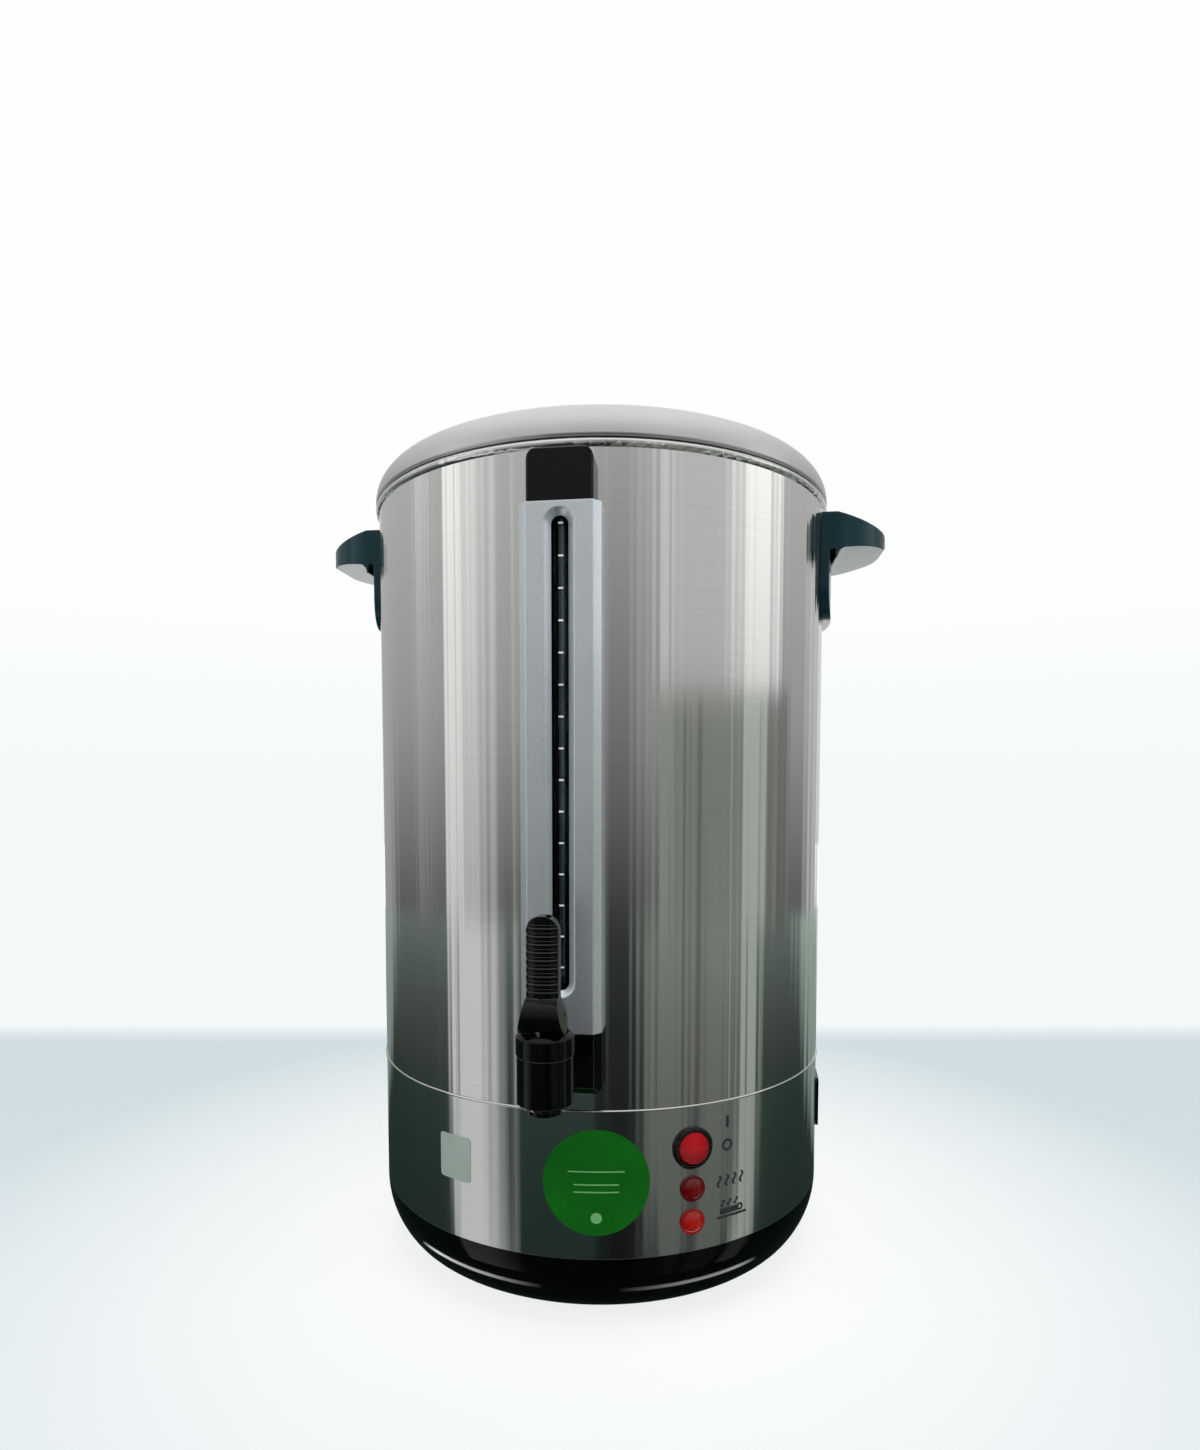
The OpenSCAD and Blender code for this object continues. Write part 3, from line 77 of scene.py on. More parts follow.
# %% [markdown]
# ## Camera
# The picture was taken with a short lens from a little above the middle of the urn and slightly to its
# right. A shifted lens frames it: the optical axis meets the picture below its middle, so the upright
# edges still run towards a point far below the table.

# %% Camera
CAMERA_PLACE = (0.0755, -0.5814, 0.2881)
CAMERA_PITCH = 3.45
CAMERA_TURN = 7.4
LENS_MM = 21.5
SENSOR_MM = 36
CLIP_NEAR, CLIP_FAR = 0.01, 100
LENS_SHIFT = (-0.001, 0.0828)
lens = bpy.data.cameras.new("camera")
lens.lens = LENS_MM
lens.sensor_width = SENSOR_MM
lens.shift_x, lens.shift_y = LENS_SHIFT
lens.clip_start, lens.clip_end = CLIP_NEAR, CLIP_FAR
camera = bpy.data.objects.new("camera", lens)
camera.location = CAMERA_PLACE
camera.rotation_euler = (math.radians(90 - CAMERA_PITCH), 0, math.radians(CAMERA_TURN))
bpy.context.scene.collection.objects.link(camera)
bpy.context.scene.camera = camera
print("camera at", tuple(camera.location))

# %% [markdown]
# ## Finishes
# Each finish is one Principled shader. What is the same all over a surface is a plain value on a socket,
# and what varies comes from noise on Object coordinates, which are metres here. Stretching the noise
# with a Mapping node turns it into brushing, streaks or speckle.

# %% Tools for finishes
# A Mix node's colour sockets go by number, since its other kinds of input share their names.
FIRST, SECOND, MIXED = 6, 7, 2


def finish(name, colour, roughness, metallic=0.0, **sockets):
    """A new Principled material. A word in sockets stands for a socket's name with its spaces."""
    material = bpy.data.materials.new(name)
    material.use_nodes = True
    shader = material.node_tree.nodes["Principled BSDF"]
    shader.inputs["Base Color"].default_value = (*colour, 1)
    shader.inputs["Roughness"].default_value = roughness
    shader.inputs["Metallic"].default_value = metallic
    for word, value in sockets.items():
        shader.inputs[word.replace("_", " ")].default_value = value
    return material


def add(material, kind, links=(), **values):
    """A new node with some of its inputs linked or set."""
    node = material.node_tree.nodes.new("ShaderNode" + kind)
    for name, value in values.items():
        if hasattr(node, name):
            setattr(node, name, value)
        else:
            node.inputs[name.replace("_", " ")].default_value = value
    for name, output in links:
        material.node_tree.links.new(output, node.inputs[name])
    return node


def grain(material, scale, detail=4.0, roughness=0.6):
    """Noise stretched by a scale along each axis, in cells for each metre."""
    place = add(material, "TexCoord")
    stretch = add(material, "Mapping", [("Vector", place.outputs["Object"])], Scale=scale)
    noise = add(material, "TexNoise", [("Vector", stretch.outputs["Vector"])],
                Scale=1.0, Detail=detail, Roughness=roughness)
    return noise.outputs["Fac"]


def drive(material, socket, factor, low, high, span=(0.3, 0.7)):
    """Drives one number of the shader between two values by a factor."""
    ranged = add(material, "MapRange", [("Value", factor)],
                 From_Min=span[0], From_Max=span[1], To_Min=low, To_Max=high)
    shader = material.node_tree.nodes["Principled BSDF"]
    material.node_tree.links.new(ranged.outputs["Result"], shader.inputs[socket])


def tint(material, factor, dark, light, span=(0.3, 0.7)):
    """Mixes the base colour between two colours by a factor."""
    ranged = add(material, "MapRange", [("Value", factor)], From_Min=span[0], From_Max=span[1])
    mix = add(material, "Mix", data_type="RGBA")
    mix.inputs[FIRST].default_value = (*dark, 1)
    mix.inputs[SECOND].default_value = (*light, 1)
    material.node_tree.links.new(ranged.outputs["Result"], mix.inputs["Factor"])
    shader = material.node_tree.nodes["Principled BSDF"]
    material.node_tree.links.new(mix.outputs[MIXED], shader.inputs["Base Color"])


def emboss(material, *heights):
    """Raises the surface by one or more factors, each with its depth in metres."""
    shader = material.node_tree.nodes["Principled BSDF"]
    normal = None
    for factor, depth in heights:
        links = [("Height", factor)] + ([("Normal", normal)] if normal else [])
        normal = add(material, "Bump", links, Distance=depth).outputs["Normal"]
    material.node_tree.links.new(normal, shader.inputs["Normal"])


print("tools for finishes ready")

# %% [markdown]
# ## Brushed steel
# The tank, skirt and lid are thin sheet, brushed round the body with a belt. Fine grooves that run round
# smear every reflection up and down, which is why the photograph shows upright bands of light. An
# anisotropic metal does this: the tangent runs round the axis, and a quarter turn makes the smear upright.
# Slow waves round the sheet give the comb of faint streaks, and patches of roughness stand for handling.

# %% Brushed steel
UPRIGHT_SMEAR = 0.25
LINE_CELLS = (14, 14, 2600)
COMB_CELLS = (150, 150, 0.35)
WAVE_CELLS = (48, 48, 0.5)
PATCH_CELLS = (9, 9, 5)


def brushed_steel(name, colour, roughness, smear, wave_depth, comb_depth):
    """Sheet brushed round the body. The depths are those of the slow waves and of the comb of streaks."""
    material = finish(name, colour, roughness, 1.0, Anisotropic=smear, Anisotropic_Rotation=UPRIGHT_SMEAR)
    tangent = add(material, "Tangent", direction_type="RADIAL", axis="Z")
    shader = material.node_tree.nodes["Principled BSDF"]
    material.node_tree.links.new(tangent.outputs["Tangent"], shader.inputs["Tangent"])
    lines = grain(material, LINE_CELLS, 3)
    comb = grain(material, COMB_CELLS, 1)
    waves = grain(material, WAVE_CELLS, 2)
    patches = grain(material, PATCH_CELLS, 3)
    tint(material, lines, [0.93 * c for c in colour], colour)
    drive(material, "Roughness", patches, roughness - 0.03, roughness + 0.04)
    emboss(material, (waves, wave_depth), (comb, comb_depth))
    return material


tank_steel = brushed_steel("tank_steel", (0.80, 0.80, 0.78), 0.13, 0.4, 0.0007, 0.0005)
skirt_steel = brushed_steel("skirt_steel", (0.77, 0.78, 0.76), 0.14, 0.4, 0.0006, 0.0002)
lid_steel = brushed_steel("lid_steel", (0.74, 0.74, 0.74), 0.42, 0.5, 0.0001, 0.00002)
print("steel:", tank_steel.name, skirt_steel.name, lid_steel.name)

# %% [markdown]
# ## Mouldings, rubber and small metal
# The black parts are glossy moulded plastic: nearly black, a faint orange peel under the gloss, and hair
# scratches that change the roughness. The gauge cover is the same kind of moulding sprayed silver, so it
# gets a fine flake. The soft and plated pieces differ mostly in how rough and how speckled they are. The
# packed mouldings have sharp edges, so a Bevel node shades those of the black finishes as if rounded, and
# paints that rounding paler, partly as wear and partly as a painted highlight along the rims.

# %% Plain finishes with grain
SLOW_CELLS = (30, 30, 30)
# Where the paler rim, partly wear and partly a painted highlight, begins and is full.
WEAR_HIGHLIGHT_START, WEAR_HIGHLIGHT_FULL = 0.985, 0.86


def moulded(name, colour, roughness, speckle=900, peel=0.00002, mottle=0.12, **sockets):
    """A finish whose roughness and colour vary with a fine speckle and slow patches."""
    material = finish(name, colour, roughness, **sockets)
    fine = grain(material, (speckle,) * 3, 2)
    slow = grain(material, SLOW_CELLS, 3)
    tint(material, slow, [(1 - mottle) * c for c in colour], [min(1.0, (1 + mottle) * c) for c in colour])
    drive(material, "Roughness", fine, 0.85 * roughness, 1.2 * roughness)
    emboss(material, (slow, 2 * peel), (fine, peel))
    return material


def edges_worn_and_highlit(material, radius, pale):
    """Shades each edge as if rounded, and paints the rounding paler: partly wear, partly a painted
    highlight.
    """
    nodes, links = material.node_tree.nodes, material.node_tree.links
    shader = nodes["Principled BSDF"]
    soft = add(material, "Bevel", samples=6, Radius=radius)
    flat = add(material, "NewGeometry")
    match = add(material, "VectorMath", [(0, soft.outputs["Normal"]), (1, flat.outputs["True Normal"])],
                operation="DOT_PRODUCT")
    wear_and_highlight = add(material, "MapRange", [("Value", match.outputs["Value"])],
               From_Min=WEAR_HIGHLIGHT_START, From_Max=WEAR_HIGHLIGHT_FULL)
    mix = add(material, "Mix", data_type="RGBA")
    mix.inputs[SECOND].default_value = (*pale, 1)
    links.new(shader.inputs["Base Color"].links[0].from_socket, mix.inputs[FIRST])
    links.new(wear_and_highlight.outputs["Result"], mix.inputs["Factor"])
    links.new(mix.outputs[MIXED], shader.inputs["Base Color"])
    first_bump = shader.inputs["Normal"].links[0].from_node
    while first_bump.inputs["Normal"].is_linked:
        first_bump = first_bump.inputs["Normal"].links[0].from_node
    links.new(soft.outputs["Normal"], first_bump.inputs["Normal"])
    return material


black_gloss = moulded("black_gloss", (0.0008, 0.0012, 0.0012), 0.07, 700, 0.000006,
                      Specular_IOR_Level=0.24)
# Paler rims, partly wear and partly a painted highlight.
edges_worn_and_highlit(black_gloss, 0.5 * MM, (0.085, 0.090, 0.090))
grip_black = moulded("grip_black", (0.001, 0.024, 0.030), 0.16, 1100, 0.00001, Specular_IOR_Level=0.3)
# Paler rims on the grips, partly wear and partly a painted highlight.
edges_worn_and_highlit(grip_black, 1.4 * MM, (0.030, 0.050, 0.055))
silver_spray = moulded("silver_spray", (0.68, 0.73, 0.755), 0.30, 2600, 0.000003, 0.03, metallic=0.85)
foot_rubber = moulded("foot_rubber", (0.022, 0.022, 0.023), 0.72, 1600, 0.00004)
silicone = moulded("silicone", (0.62, 0.60, 0.56), 0.5, 1400, 0.00002, Subsurface_Weight=0.15)
blackened = moulded("blackened", (0.03, 0.03, 0.032), 0.35, 1800, 0.00001, metallic=1.0)
rim_steel = moulded("rim_steel", (0.80, 0.80, 0.79), 0.17, 1600, 0.000003, 0.04, metallic=1.0)
zinc = moulded("zinc", (0.60, 0.61, 0.63), 0.3, 2400, 0.000008, metallic=1.0)
brass = moulded("brass", (0.66, 0.48, 0.20), 0.28, 2000, 0.000008, metallic=1.0)
aluminium = moulded("aluminium", (0.70, 0.71, 0.72), 0.42, 1500, 0.00002, metallic=1.0)
pale_plastic = moulded("pale_plastic", (0.70, 0.66, 0.58), 0.45, 1200, 0.00002)
clear_tube = moulded("clear_tube", (0.80, 0.93, 0.95), 0.04, 300, 0.000004, Transmission_Weight=1.0,
                     IOR=1.3)
print("finishes:", len(bpy.data.materials))

# %% [markdown]
# ## Red lenses
# The rocker and the two lamps are clear red mouldings. Each lens is deepest in colour at its rim, partly
# because one looks through most of it there and partly as painted shade, and palest at a painted glow, as
# of a small lamp behind it. The distance from that glow drives the tint. On the rocker the glow sits above
# the middle as a painted highlight, and the warm lamp's lens is painted brighter than the heating lamp's,
# as if lit.

# %% Red lenses
def red_lens(node, colour, lift, depth=0.42):
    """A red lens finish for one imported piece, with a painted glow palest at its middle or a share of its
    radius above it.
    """
    low, high = (Vector(corner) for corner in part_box(node))
    radius = (high.z - low.z) / 2
    material = moulded(node + "_red", colour, 0.08, 420, 0.000008, Specular_IOR_Level=0.3, Coat_Weight=0.3,
                       Coat_Roughness=0.03)
    place = add(material, "TexCoord")
    # A painted glow, palest at the middle or a share of the radius above it, with painted shade towards the
    # rim.
    from_glow = add(material, "VectorMath", [(0, place.outputs["Object"])], operation="DISTANCE")
    from_glow.inputs[1].default_value = (low + high) / 2 + Vector((0, 0, lift * radius))
    rim_shade = [depth * c for c in colour]
    tint(material, from_glow.outputs["Value"], colour, rim_shade, (0.35 * radius, 1.15 * radius))
    # Paler rims, partly wear and partly a painted highlight.
    return edges_worn_and_highlit(material, 0.3 * MM, [1.6 * c for c in colour])


# The rocker's glow sits high, a painted highlight.
rocker_red = red_lens("switch_rocker", (0.42, 0.010, 0.014), 0.45)
heating_red = red_lens("heating_lamp_lens", (0.13, 0.001, 0.002), 0.0)
# The warm lamp's lens is painted brighter than the heating lamp's, a painted glow as if it were lit.
warm_red = red_lens("warm_lamp_lens", (0.36, 0.008, 0.005), 0.0)
print("lenses:", rocker_red.name, heating_red.name, warm_red.name)

# %% [markdown]
# ## A finish for every piece
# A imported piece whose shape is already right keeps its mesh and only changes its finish. The table goes
# by finish, so that a finish can be changed in one place.

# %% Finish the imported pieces
FINISHES = {
    tank_steel: "tank",
    skirt_steel: "skirt",
    lid_steel: "lid",
    rim_steel: "skirt_ring lid_ring",
    black_gloss: "base gauge_carrier tap_body tap_bonnet tap_lever lid_knob switch_body lamp_holders "
                 "inlet_body",
    grip_black: "handle_left handle_right",
    silver_spray: "gauge_cover",
    clear_tube: "gauge_tube",
    rocker_red: "switch_rocker",
    heating_red: "heating_lamp_lens",
    warm_red: "warm_lamp_lens",
    foot_rubber: "foot_ring",
    silicone: "gauge_low_seal gauge_top_seal gauge_washer tap_outer_gasket tap_inner_gasket seat_cup",
    zinc: "handle_studs tie_rod tie_washer tie_nut handle_nuts gauge_screw tap_spring lever_pin lamp_nuts "
          "thermostat_screws knob_screw knob_washer heating_element",
    blackened: "tap_stem",
    brass: "tap_nut inlet_pins terminal_screws",
    aluminium: "heat_plate control_thermostat boil_dry_cutout",
    pale_plastic: "terminal_block",
}
finished = []
for material, names in FINISHES.items():
    for name in names.split():
        cad[name].data.materials.clear()
        cad[name].data.materials.append(material)
        finished.append(name)
print("finished", len(finished), "of", len(cad), "left:", sorted(set(cad) - set(finished)))

# %% [markdown]
# ## Tools for pieces
# A new piece is a bmesh that becomes a mesh object at the origin. It rides a body and may stand in for
# packed pieces. Edges sharper than a limit stay sharp, and shading weighted by face size keeps wide faces
# flat beside a narrow rounded rim. A imported mesh is loose triangles, so a copy of it is merged before it
# is worked on.

# %% Tools for pieces
MERGE_REACH = 2e-6
FLAT_ANGLE = 0.3


def make_piece(name, bm, material, body, slot, *replaced, crease=40):
    """Turns a bmesh into a piece of the urn."""
    mesh = bpy.data.meshes.new(name)
    bm.to_mesh(mesh)
    bm.free()
    mesh.materials.append(material)
    mesh.shade_smooth()
    mesh.set_sharp_from_angle(angle=math.radians(crease))
    piece = bpy.data.objects.new(name, mesh)
    bpy.context.scene.collection.objects.link(piece)
    shading = piece.modifiers.new("shading", "WEIGHTED_NORMAL")
    shading.keep_sharp = True
    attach(piece, body)
    if replaced:
        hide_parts(*replaced)
    print(name, len(mesh.polygons), "faces")
    return piece


def merged(node):
    """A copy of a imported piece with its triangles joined."""
    bm = bmesh.new()
    bm.from_mesh(cad[node].data)
    bmesh.ops.remove_doubles(bm, verts=bm.verts, dist=MERGE_REACH)
    return bm


def softened(node, width, segments=2, angle=28):
    """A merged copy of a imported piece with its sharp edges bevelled, as a mould leaves them. The width is
    in millimetres, and the shortest edges of the piece limit how much of it is reached."""
    bm = merged(node)
    bmesh.ops.dissolve_limit(bm, angle_limit=math.radians(FLAT_ANGLE), verts=bm.verts, edges=bm.edges)
    edges = [e for e in bm.edges if len(e.link_faces) == 2 and e.calc_face_angle() > math.radians(angle)]
    bmesh.ops.bevel(bm, geom=edges, offset=width * MM, offset_type="OFFSET", affect="EDGES",
                    segments=segments, profile=0.5, material=-1, clamp_overlap=True)
    return bm


print("tools for pieces ready")

# %% [markdown]
# ## Handles
# Each handle is one moulding: a shelf to lift by, on a back plate that hugs the wall. A mould never leaves
# a knife edge, and it is the rounded rim that draws the thin line of light along the shelf. The packed
# handle has the form. Its shortest edges hold the bevel of the mesh back, so most of the rounding that
# shows comes from the finish, which also paints the rims paler, partly as wear and partly as a painted
# highlight.

# %% Handles
for side in ("left", "right"):
    make_piece(f"{side}_grip", softened(f"handle_{side}", 1.6, 3), grip_black, "urn", "black_gloss",
               f"handle_{side}")

# %% [markdown]
# ## Sight gauge
# A silver cover clips between a black head and the black block behind the tap. The cover's edges are
# broken just enough to shine. Behind its slot stands the tube.

# %% Gauge cover and carrier
make_piece("gauge_face", softened("gauge_cover", 0.5), silver_spray, "urn", "silver_cover", "gauge_cover")
make_piece("gauge_frame", softened("gauge_carrier", 0.4), black_gloss, "urn", "black_gloss",
           "gauge_carrier")

# %% [markdown]
# ## Litre marks
# The tube is printed with a short white mark for every litre. A print has hardly any thickness, but a
# real one keeps it from flickering against the tube. Each mark is a small rectangle that is spun part of
# the way round the tube.

# %% Litre marks
tube_low, tube_high = (Vector(corner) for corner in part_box("gauge_tube"))
TUBE_AXIS = Vector(((tube_low.x + tube_high.x) / 2, (tube_low.y + tube_high.y) / 2, 0))
TUBE_R = (tube_high.x - tube_low.x) / 2
MARKS, FIRST_MARK, MARK_PITCH = 15, 200.3 * MM, 15.69 * MM
MARK_H, MARK_T, MARK_TURN = 0.9 * MM, 0.06 * MM, 36
MARK_STEPS = 8
MARK_R = TUBE_R * 1.005
mark_paint = moulded("mark_paint", (0.86, 0.88, 0.88), 0.5, 1500, 0.000004)
bm = bmesh.new()
for number in range(MARKS):
    z = FIRST_MARK + number * MARK_PITCH
    side = math.radians(-90 - MARK_TURN / 2)
    ray = Vector((math.cos(side), math.sin(side), 0))
    near, far = TUBE_AXIS + MARK_R * ray, TUBE_AXIS + (MARK_R + MARK_T) * ray
    up = Vector((0, 0, MARK_H / 2))
    height = Vector((0, 0, z))
    corners = [bm.verts.new(height + p) for p in (near - up, far - up, far + up, near + up)]
    face = bm.faces.new(corners)
    bmesh.ops.spin(bm, geom=[face, *face.edges, *corners], cent=TUBE_AXIS, axis=(0, 0, 1),
                   angle=math.radians(MARK_TURN), steps=MARK_STEPS)
bmesh.ops.recalc_face_normals(bm, faces=bm.faces)
make_piece("litre_marks", bm, mark_paint, "urn", "silver_cover")

# %% [markdown]
# ## Tap
# The tap is a black barrel with a screwed bonnet, and a ribbed paddle that is pulled forward. All of it is
# moulded, so the same rounding serves, finer than on the handles. The bonnet's mesh takes it in full, and
# the finish gives it to the rest. The finish paints the rims a little paler, partly as wear from handling
# and partly as a painted highlight.

# %% Tap
for name, node, body in (("tap_barrel", "tap_body", "urn"), ("tap_cap", "tap_bonnet", "urn"),
                         ("tap_paddle", "tap_lever", "lever")):
    make_piece(name, softened(node, 0.4), black_gloss, body, "black_gloss", node)

# %% [markdown]
# ## Valve spring
# Pulling the paddle lifts the valve and shortens the coil above it. The coil can't follow the valve as a
# rigid piece, so it is a merged copy with a mesh of its own.

# %% Valve spring
spring = make_piece("valve_spring", merged("tap_spring"), zinc, "urn", "plated_steel", "tap_spring")
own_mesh(spring)

# %% [markdown]
# ## Switch, lamps and inlet
# The rocker and the lamp lenses are clear red mouldings over dark housings. Their edges are bevelled a
# little where the imported mesh allows it, and the finish and its gloss do the rest. The finish also paints
# their rims paler, partly as wear and partly as a painted highlight.

# %% Controls
make_piece("switch_bezel", softened("switch_body", 0.35), black_gloss, "urn", "black_gloss", "switch_body")
make_piece("rocker_cap", softened("switch_rocker", 0.45), rocker_red, "rocker", "red_lens", "switch_rocker")
for name, material in (("heating_lamp", heating_red), ("warm_lamp", warm_red)):
    make_piece(f"{name}_dome", softened(f"{name}_lens", 0.3), material, "urn", "red_lens", f"{name}_lens")
make_piece("inlet_shell", softened("inlet_body", 0.3), black_gloss, "urn", "black_gloss", "inlet_body")

# %% [markdown]
# ## Films on the skirt
# A round green sticker, a pale blank label and the printed signs are thin films. Each is drawn flat, given
# its thickness, cut into upright strips and bent round the skirt. The cuts keep a wide film from cutting
# a corner through the steel.

# %% Tools for films
BODY_R = 143 * MM
FILM_LIFT = 0.05 * MM
STRIP_W = 3 * MM


def thick(bm, depth):
    """Gives a flat shape its thickness, upwards from z = 0."""
    flat = bmesh.ops.extrude_face_region(bm, geom=bm.faces[:])
    raised = [v for v in flat["geom"] if isinstance(v, bmesh.types.BMVert)]
    bmesh.ops.translate(bm, vec=(0, 0, depth), verts=raised)
    bmesh.ops.recalc_face_normals(bm, faces=bm.faces)
    return bm


def wrapped(bm, angle, z):
    """Bends a flat shape round the body, its middle at an angle from the front and at a height."""
    reach = max(abs(v.co.x) for v in bm.verts)
    for cut in range(1, int(2 * reach / STRIP_W) + 1):
        bmesh.ops.bisect_plane(bm, geom=bm.verts[:] + bm.edges[:] + bm.faces[:],
                               plane_co=(cut * STRIP_W - reach, 0, 0), plane_no=(1, 0, 0))
    for vertex in bm.verts:
        turn = math.radians(angle) + vertex.co.x / BODY_R
        out = BODY_R + FILM_LIFT + vertex.co.z
        vertex.co = (out * math.sin(turn), -out * math.cos(turn), z + vertex.co.y)
    return bm


def bar(bm, x, y, width, height, lift=0.0):
    """A flat rectangle about a place, in millimetres."""
    place = Matrix.Translation((x * MM, y * MM, lift * MM))
    size = Matrix.Diagonal((width * MM, height * MM, 1, 1))
    bmesh.ops.create_grid(bm, x_segments=1, y_segments=1, size=0.5, matrix=place @ size)


def disc(bm, x, y, radius, lift=0.0, segments=32):
    """A flat disc about a place, in millimetres."""
    return bmesh.ops.create_circle(bm, cap_ends=True, segments=segments, radius=radius * MM,
                                   matrix=Matrix.Translation((x * MM, y * MM, lift * MM)))


print("strips of", STRIP_W, "m")

# %% [markdown]
# ## Sticker and label
# The round sticker and the small label carry print on the real urn, and it isn't copied. Three plain
# rules and a dot keep the sticker's scale, and the label stays bare. The rules lie just above the sticker.

# %% Green sticker and blank label
sticker_green = moulded("sticker_green", (0.001, 0.098, 0.003), 0.5, 1300, 0.000004, 0.16,
                        Specular_IOR_Level=0.08)
sticker_pale = moulded("sticker_pale", (0.13, 0.33, 0.13), 0.5, 1300, 0.000004, 0.06,
                       Specular_IOR_Level=0.1)
label_film = moulded("label_film", (0.24, 0.30, 0.26), 0.4, 1200, 0.000004, 0.08)
STICKER = (6.3, 83.5 * MM)
STICKER_R, RULE_H, DOT_R = 28.5, 0.7, 3
STICKER_T, LABEL_T, INK = 0.12 * MM, 0.1 * MM, 0.03 * MM
RULES_LIFT = 0.125
LABEL = (-27.1, 86.7 * MM)
LABEL_W, LABEL_H, LABEL_CORNER = 22.5, 25, 2 * MM
bm = bmesh.new()
disc(bm, 0, 0, STICKER_R, segments=96)
make_piece("round_sticker", wrapped(thick(bm, STICKER_T), *STICKER), sticker_green, "urn", "pale_plastic")
bm = bmesh.new()
for up, width in ((6.0, 30), (-1.0, 24), (-5.0, 24)):
    bar(bm, 0, up, width, RULE_H, RULES_LIFT)
disc(bm, 0, -19, DOT_R, RULES_LIFT)
make_piece("sticker_rules", wrapped(thick(bm, INK), *STICKER), sticker_pale, "urn", "pale_plastic")
bm = bmesh.new()
bar(bm, 0, 0, LABEL_W, LABEL_H)
bmesh.ops.bevel(bm, geom=bm.verts[:], offset=LABEL_CORNER, affect="VERTICES", segments=5, profile=0.5,
                material=-1)
make_piece("blank_label", wrapped(thick(bm, LABEL_T), *LABEL), label_film, "urn", "pale_plastic")

# %% [markdown]
# ## Printed signs
# Short words stand beside the switch and the lamps on the real urn. Signs that anyone may use take their
# place: I and O for the switch, waves for heat, and a steaming cup for keeping warm. They are drawn flat
# from bars, rings and wavy strokes.

# %% Printed signs
sign_ink = moulded("sign_ink", (0.012, 0.022, 0.022), 0.5, 1500, 0.000004)
WAVE_SWING, WAVE_W = 0.9, 1.5


def ring(bm, x, y, outer, inner):
    """A flat ring about a place, in millimetres."""
    face = disc(bm, x, y, outer)["verts"][0].link_faces[0]
    bmesh.ops.inset_region(bm, faces=[face], thickness=(outer - inner) * MM, use_boundary=True)
    bmesh.ops.delete(bm, geom=[face], context="FACES")


def heat_waves(bm, places, y, height):
    """Upright wavy strokes, the usual sign for heat."""
    for x in places:
        grid = bmesh.ops.create_grid(bm, x_segments=1, y_segments=16, size=0.5)
        for vertex in grid["verts"]:
            swing = WAVE_SWING * math.sin(2 * math.pi * vertex.co.y)
            vertex.co = ((x + swing + WAVE_W * vertex.co.x) * MM, (y + height * vertex.co.y) * MM, 0)


signs = {}
bm = signs["sign_on"] = bmesh.new()
bar(bm, 0, 0, 1.7, 6.4)
bm = signs["sign_off"] = bmesh.new()
ring(bm, 0, 0, 3.4, 2.0)
bm = signs["sign_heating"] = bmesh.new()
heat_waves(bm, (-7.5, -2.5, 2.5, 7.5), 0, 6.4)
bm = signs["sign_warm"] = bmesh.new()
heat_waves(bm, (-6.5, -2, 2.5), 3.6, 3.8)
bar(bm, -2, -0.7, 12, 3.2)
bar(bm, 0, -3.9, 20, 1.3)
ring(bm, 5.4, -0.6, 2.1, 1.0)
SIGN_PLACES = {
    "sign_on": (36, 110),
    "sign_off": (36, 97),
    "sign_heating": (37, 77.3),
    "sign_warm": (37.5, 61),
}
for name, bm in signs.items():
    angle, z = SIGN_PLACES[name]
    make_piece(name, wrapped(thick(bm, INK), angle, z * MM), sign_ink, "urn", "black_gloss")

# %% [markdown]
# ## Weld lines
# Tank and skirt are rolled from sheet and welded up the back. A narrow flattened bead is all that shows.

# %% Weld lines
weld_steel = moulded("weld_steel", (0.55, 0.53, 0.50), 0.35, 1800, 0.00001, 0.15, metallic=1.0)
WELD_W, WELD_T = 1.6 * MM, 0.12 * MM
for name, low, high in (("tank_weld", 124.5, 459), ("skirt_weld", 43.5, 120)):
    bm = bmesh.new()
    length = (high - low) * MM
    bmesh.ops.create_grid(bm, x_segments=1, y_segments=60, size=0.5,
                          matrix=Matrix.Diagonal((WELD_W, length, 1, 1)))
    thick(bm, WELD_T)
    make_piece(name, wrapped(bm, 180, (low + high) / 2 * MM), weld_steel, "urn", "steel")

# %% [markdown]
# ## Studio
# A white sweep would need a huge floor, so the floor is a plain pale sheet and the world is white where
# the camera or a reflection looks at it. Three soft lamps light the urn and are hidden from reflections.

# %% World and lamps
def light_path_mix(tree, seen, lit):
    """Picks one input where the camera, a reflection or glass looks, and the other for lighting."""
    path = tree.nodes.new("ShaderNodeLightPath")
    looks = path.outputs["Is Camera Ray"]
    for output in ("Is Glossy Ray", "Is Transmission Ray"):
        most = tree.nodes.new("ShaderNodeMath")
        most.operation = "MAXIMUM"
        tree.links.new(looks, most.inputs[0])
        tree.links.new(path.outputs[output], most.inputs[1])
        looks = most.outputs[0]
    mix = tree.nodes.new("ShaderNodeMixShader")
    tree.links.new(looks, mix.inputs[0])
    tree.links.new(lit, mix.inputs[1])
    tree.links.new(seen, mix.inputs[2])
    return mix.outputs[0]


